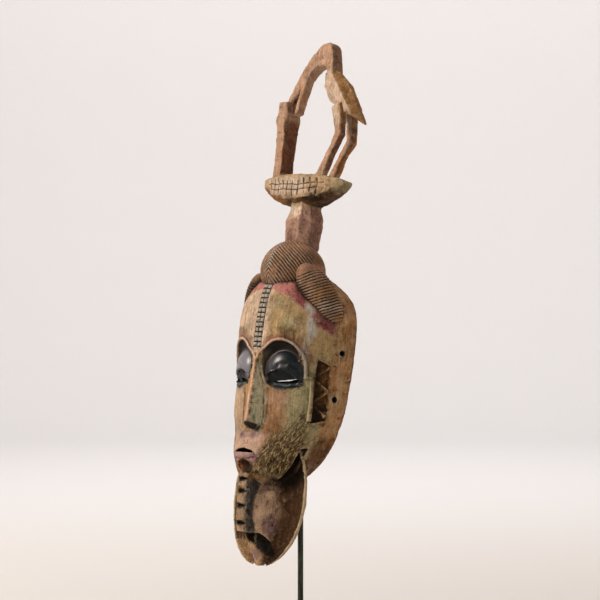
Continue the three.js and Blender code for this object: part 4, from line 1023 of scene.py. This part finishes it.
def scarPattern(tree, local):
    # 1 in the cuts between two columns of small square pads, 0 on the pads
    wobble = addNode(tree, "TexNoise", {"Vector": local, "Scale": 1 / (wear["padEdge"] * mm), "Detail": 3})
    wobble = addNode(tree, "Math", (wobble, 0.5), **minus)
    wobble = addNode(tree, "Math", (wobble, wear["padWobble"] * mm), **times)
    x, _, z = addNode(tree, "SeparateXYZ", (local,), "all")
    x = addNode(tree, "Math", (x, wobble), **plus)
    x = addNode(tree, "Math", (x, scarForm["step"] * mm), **divided)
    z = addNode(tree, "Math", (z, wobble), **plus)
    z = addNode(tree, "Math", (z, scarForm["top"] * mm), **minus)
    z = addNode(tree, "Math", (z, scarForm["pitch"] * mm), **divided)
    z = addNode(tree, "Math", (z, 0.5), **plus)
    cuts = []
    for part, low, high in ((x, 0.38, 0.45), (z, 0.31, 0.39)):
        part = addNode(tree, "Math", (part, 0.0), **fraction)
        fromMiddle = addNode(tree, "Math", (part, 0.5), **minus)
        fromMiddle = addNode(tree, "Math", (fromMiddle, 0.0), **positive)
        cuts.append(addNode(tree, "MapRange", (fromMiddle, low, high)))
    return addNode(tree, "Math", cuts, **larger)


def paintedWood():
    # Old carved wood under thin powdery paint: dry and matt, with fine vertical grain,
    # dark pits, brown grime in the cuts, bare edges, and blacked eyes with a soft shine
    material, tree = newMaterial("carved wood with worn kaolin paint")
    place = addNode(tree, "TexCoord", out="Object")
    c, s = math.cos(stance["lean"]), math.sin(stance["lean"])
    back, up = stance["behindRod"] * mm, stance["eyeHeight"] * mm
    shift = (0, up * s - back * c, -back * s - up * c)
    local = addNode(tree, "Mapping", {"Vector": place, "Rotation": (stance["lean"], 0, 0), "Location": shift})
    tone = addNode(tree, "Attribute", out="Color", attribute_name="tone")
    names = ("grime", "worn", "gloss", "grid", "strokes", "scars", "calm")
    grime, worn, gloss, grid, strokes, scars, calm = (
        addNode(tree, "Attribute", out="Fac", attribute_name=name) for name in names)
    matt = strength(tree, (gloss, 0, 0.6, 1, 0))
    lightness = addNode(tree, "RGBToBW", (tone,))
    dusty = strength(tree, matt, (lightness, 0.01, 0.09, 0.12, 1))
    patterns = []
    for name, detail, rough, long in (("grain", 4, 0.62, wear["grainLong"]), ("mottle", 8, 0.68, 1),
                                      ("dust", 4, 0.7, 1), ("chip", 5, 0.7, wear["chipLong"])):
        drawn = addNode(tree, "Mapping", {"Vector": local, "Scale": (1, 1, long)})
        patterns.append(addNode(tree, "TexNoise", {"Vector": drawn, "Scale": 1 / (wear[name] * mm),
                                                   "Detail": detail, "Roughness": rough}))
    grain, mottle, dust, chips = patterns
    pits = addNode(tree, "TexVoronoi", {"Vector": local, "Scale": 1 / (wear["pit"] * mm)})
    shade = strength(tree, (mottle, 0.34, 0.68, 0.62, 1.3), (grain, 0.36, 0.64, 0.74, 1.2))
    shade = addNode(tree, "Mix", {0: matt, 2: 1.0, 3: shade})
    grey = addNode(tree, "CombineColor", (shade, shade, shade))
    colour = addNode(tree, "Mix", {0: 1.0, 6: tone, 7: grey}, blend_type="MULTIPLY", **ofColours)
    high, low = strokePattern(tree, local)
    ridge = strength(tree, (high, 0.56, 0.63), strokes)
    trough = strength(tree, (low, 0.44, 0.36), strokes)
    pit = strength(tree, (pits, 0.22, 0.1, 0, 0.85), (mottle, 0.48, 0.6), matt, (calm, 0, 1, 1, 0.15))
    dirt = strength(tree, grime, (mottle, 0.3, 0.6, 0.55, 1))
    pads = {0: strength(tree, (dust, 0.45, 0.6)), 6: rgba(woodTints["pad"]), 7: rgba(woodTints["padShade"])}
    pads = addNode(tree, "Mix", pads, **ofColours)
    pads = {0: scarPattern(tree, local), 6: pads, 7: rgba(woodTints["padCut"])}
    pads = addNode(tree, "Mix", pads, **ofColours)
    # From the wood outwards: rubbed-through brown, dust that catches the light, pits, the jaw's
    # cream ridges over brown, grime, bare edges, the scars' pads, and painted shade in the platform's grid
    # lines
    coats = (
        ("rubbed", ((chips, 0.56, 0.68, 0, 0.6), dusty)),
        ("dust", ((dust, 0.58, 0.7, 0, 0.4), dusty, (grime, 0, 0.4, 1, 0))),
        ("speck", ((dust, 0.42, 0.33, 0, 0.6), matt)),
        ("pit", (pit,)),
        ("ridge", (ridge, 0.8)),
        ("trough", (trough, 0.8)),
        ("grime", ((dirt, 0.1, 0.8, 0, 0.92),)),
        ("bare", (worn, dusty, (dust, 0.35, 0.6, 0.25, 0.7))),
        (pads, (scars, 0.92)),
        # Painted shade: near black in the grid's cut lines
        ("gridCutShade", ((grid, 0.2, 0.9, 0, 0.92),)),
    )
    for tint, factors in coats:
        above = rgba(woodTints[tint]) if isinstance(tint, str) else tint
        colour = addNode(tree, "Mix", {0: strength(tree, *factors), 6: colour, 7: above}, **ofColours)
    rough = strength(tree, (gloss, 0, 1, 0.68, 0.37)), strength(tree, (dust, 0.3, 0.7, -0.06, 0.1))
    rough = addNode(tree, "Math", rough, **plus)
    height = addNode(tree, "Math", (strength(tree, grain, 0.5), strength(tree, mottle, 0.6)), **plus)
    height = strength(tree, addNode(tree, "Math", (height, pit), **minus), matt)
    cut = strength(tree, addNode(tree, "Math", (ridge, trough), **minus), 0.9)
    height = addNode(tree, "Math", (height, cut), **plus)
    bump = addNode(tree, "Bump", {"Height": height, "Strength": 0.7, "Distance": wear["bump"] * mm})
    finishMaterial(tree, Base_Color=colour, Roughness=rough, Normal=bump, IOR=1.45,
                   Specular_IOR_Level=0.12, Coat_Weight=strength(tree, gloss, 0.5), Coat_Roughness=0.3)
    return material


steel = {"line": 1.1, "lineLong": 0.05, "spot": 3, "bump": 0.3, "dark": "272d25", "light": "4a5045",
         "rust": "4a3322"}


def oiledSteel():
    # Cold-drawn steel rod, oiled dark: greenish black with a soft streak of light and rust specks
    material, tree = newMaterial("oiled dark steel rod")
    place = addNode(tree, "TexCoord", out="Object")
    drawn = addNode(tree, "Mapping", {"Vector": place, "Scale": (1, 1, steel["lineLong"])})
    lines = addNode(tree, "TexNoise", {"Vector": drawn, "Scale": 1 / (steel["line"] * mm), "Detail": 3})
    spots = addNode(tree, "TexNoise", {"Vector": place, "Scale": 1 / (steel["spot"] * mm),
                                       "Detail": 5, "Roughness": 0.7})
    rust = strength(tree, (spots, 0.55, 0.66))
    streak = strength(tree, (lines, 0.4, 0.6))
    colour = addNode(tree, "Mix", {0: streak, 6: rgba(steel["dark"]), 7: rgba(steel["light"])}, **ofColours)
    colour = addNode(tree, "Mix", {0: rust, 6: colour, 7: rgba(steel["rust"])}, **ofColours)
    bump = addNode(tree, "Bump", {"Height": spots, "Strength": 0.35, "Distance": steel["bump"] * mm})
    finishMaterial(tree, Base_Color=colour, Roughness=strength(tree, (rust, 0, 1, 0.4, 0.85)),
                   Metallic=0.75, Normal=bump)
    return material


plate = {"skin": 1.1, "dust": 38, "bump": 0.2, "dark": "161718", "light": "232426"}


def paintedFoot():
    # Sheet-cut steel plate under matt black sprayed paint: even, with a faint orange-peel skin
    material, tree = newMaterial("steel plate in matt black paint")
    place = addNode(tree, "TexCoord", out="Object")
    skin = addNode(tree, "TexNoise", {"Vector": place, "Scale": 1 / (plate["skin"] * mm), "Detail": 2})
    dust = addNode(tree, "TexNoise", {"Vector": place, "Scale": 1 / (plate["dust"] * mm),
                                      "Detail": 8, "Roughness": 0.7})
    cloudy = strength(tree, (dust, 0.4, 0.7))
    colour = addNode(tree, "Mix", {0: cloudy, 6: rgba(plate["dark"]), 7: rgba(plate["light"])}, **ofColours)
    bump = addNode(tree, "Bump", {"Height": skin, "Strength": 0.25, "Distance": plate["bump"] * mm})
    finishMaterial(tree, Base_Color=colour, Roughness=0.55, Normal=bump)
    return material


def dress(piece, material, node):
    piece.data.materials.clear()
    piece.data.materials.append(material)
    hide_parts(node)
    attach(piece, "root")


dress(carvedMask, paintedWood(), "mask")
dress(drawnRod, oiledSteel(), "stand_rod")
dress(plainFoot, paintedFoot(), "stand_foot")
print("materials set")

# Floor, light and camera
studio = {"floorRadius": 3.2, "wallRadius": 4.2, "wallHeight": 5.0, "steps": 8, "air": 0.09}
paper = {"fibre": 3, "dark": "d9d7d3", "light": "dfddd9"}
lights = {
    "key": {"at": (-1.05, -2.1, 2.1), "aim": (0, 0, 0.4), "size": (0.7, 0.7),
            "power": 88, "colour": "fff2e6"},
    "fill": {"at": (2.7, -0.9, 0.8), "aim": (0, 0, 0.35), "size": (0.35, 1.6),
             "power": 4, "colour": "e8eeff"},
    "edge": {"at": (1.3, 1.7, 1.1), "aim": (0, 0, 0.38), "size": (0.6, 0.9),
             "power": 9, "colour": "ffdcb8"},
    "wall": {"at": (-0.9, 1.1, 2.8), "aim": (-2.7, 2.9, 0.7), "size": (1.6, 1.0),
             "power": 80, "colour": "f6f6ff"},
}
view = {"azimuth": math.radians(45), "height": 367.4, "aside": 0.535, "distance": 2200, "across": 642}


def studioFloor():
    # A pale floor that curves up into a wall all round
    bpy.ops.object.select_all(action="DESELECT")
    bpy.ops.mesh.primitive_circle_add(vertices=96, radius=studio["floorRadius"], fill_type="NGON")
    floor = bpy.context.object
    floor.name = "floor"
    bpy.ops.object.mode_set(mode="EDIT")
    bpy.ops.mesh.select_all(action="SELECT")
    bpy.ops.mesh.region_to_loop()
    curve = studio["wallRadius"] - studio["floorRadius"]
    radius = studio["floorRadius"]
    height = 0
    for i in range(1, studio["steps"] + 1):
        turn = math.pi / 2 * i / studio["steps"]
        newRadius = studio["floorRadius"] + curve * math.sin(turn)
        newHeight = curve * (1 - math.cos(turn))
        bpy.ops.mesh.extrude_edges_move(TRANSFORM_OT_translate={"value": (0, 0, newHeight - height)})
        grow = newRadius / radius
        bpy.ops.transform.resize(value=(grow, grow, 1), center_override=(0, 0, 0))
        radius, height = newRadius, newHeight
    bpy.ops.mesh.extrude_edges_move(TRANSFORM_OT_translate={"value": (0, 0, studio["wallHeight"] - height)})
    bpy.ops.object.mode_set(mode="OBJECT")
    bpy.ops.object.shade_smooth()
    material, tree = newMaterial("pale studio paper")
    place = addNode(tree, "TexCoord", out="Object")
    fibre = addNode(tree, "TexNoise", {"Vector": place, "Scale": 1 / (paper["fibre"] * mm), "Detail": 2})
    colour = addNode(tree, "Mix", {0: fibre, 6: rgba(paper["dark"]), 7: rgba(paper["light"])}, **ofColours)
    finishMaterial(tree, Base_Color=colour, Roughness=0.9)
    floor.data.materials.append(material)


def addLight(name, look):
    lamp = bpy.data.lights.new(name, "AREA")
    lamp.shape = "RECTANGLE"
    lamp.size, lamp.size_y = look["size"]
    lamp.energy = look["power"]
    lamp.color = linear(look["colour"])
    holder = bpy.data.objects.new(name, lamp)
    bpy.context.scene.collection.objects.link(holder)
    holder.location = look["at"]
    way = Vector(look["aim"]) - Vector(look["at"])
    holder.rotation_euler = way.to_track_quat("-Z", "Y").to_euler()


def addCamera():
    lens = bpy.data.cameras.new("camera")
    lens.sensor_width = 36
    lens.lens = 36 * view["distance"] / view["across"]
    lens.clip_start = 0.05
    lens.clip_end = 50
    holder = bpy.data.objects.new("camera", lens)
    bpy.context.scene.collection.objects.link(holder)
    a = view["azimuth"]
    back = Vector((math.sin(a), -math.cos(a), 0))
    right = Vector((math.cos(a), math.sin(a), 0))
    target = Vector((0, 0, view["height"] * mm)) - right * view["aside"] * mm
    holder.location = target + back * view["distance"] * mm
    holder.rotation_euler = (-back).to_track_quat("-Z", "Y").to_euler()
    bpy.context.scene.camera = holder


studioFloor()
for lightName, lightLook in lights.items():
    addLight(lightName, lightLook)
world = bpy.data.worlds.new("studio air")
world.use_nodes = True
world.node_tree.nodes["Background"].inputs["Color"].default_value = (*linear("e8ecf2"), 1)
world.node_tree.nodes["Background"].inputs["Strength"].default_value = studio["air"]
bpy.context.scene.world = world
bpy.context.scene.view_settings.view_transform = "Standard"
addCamera()
print("studio set")
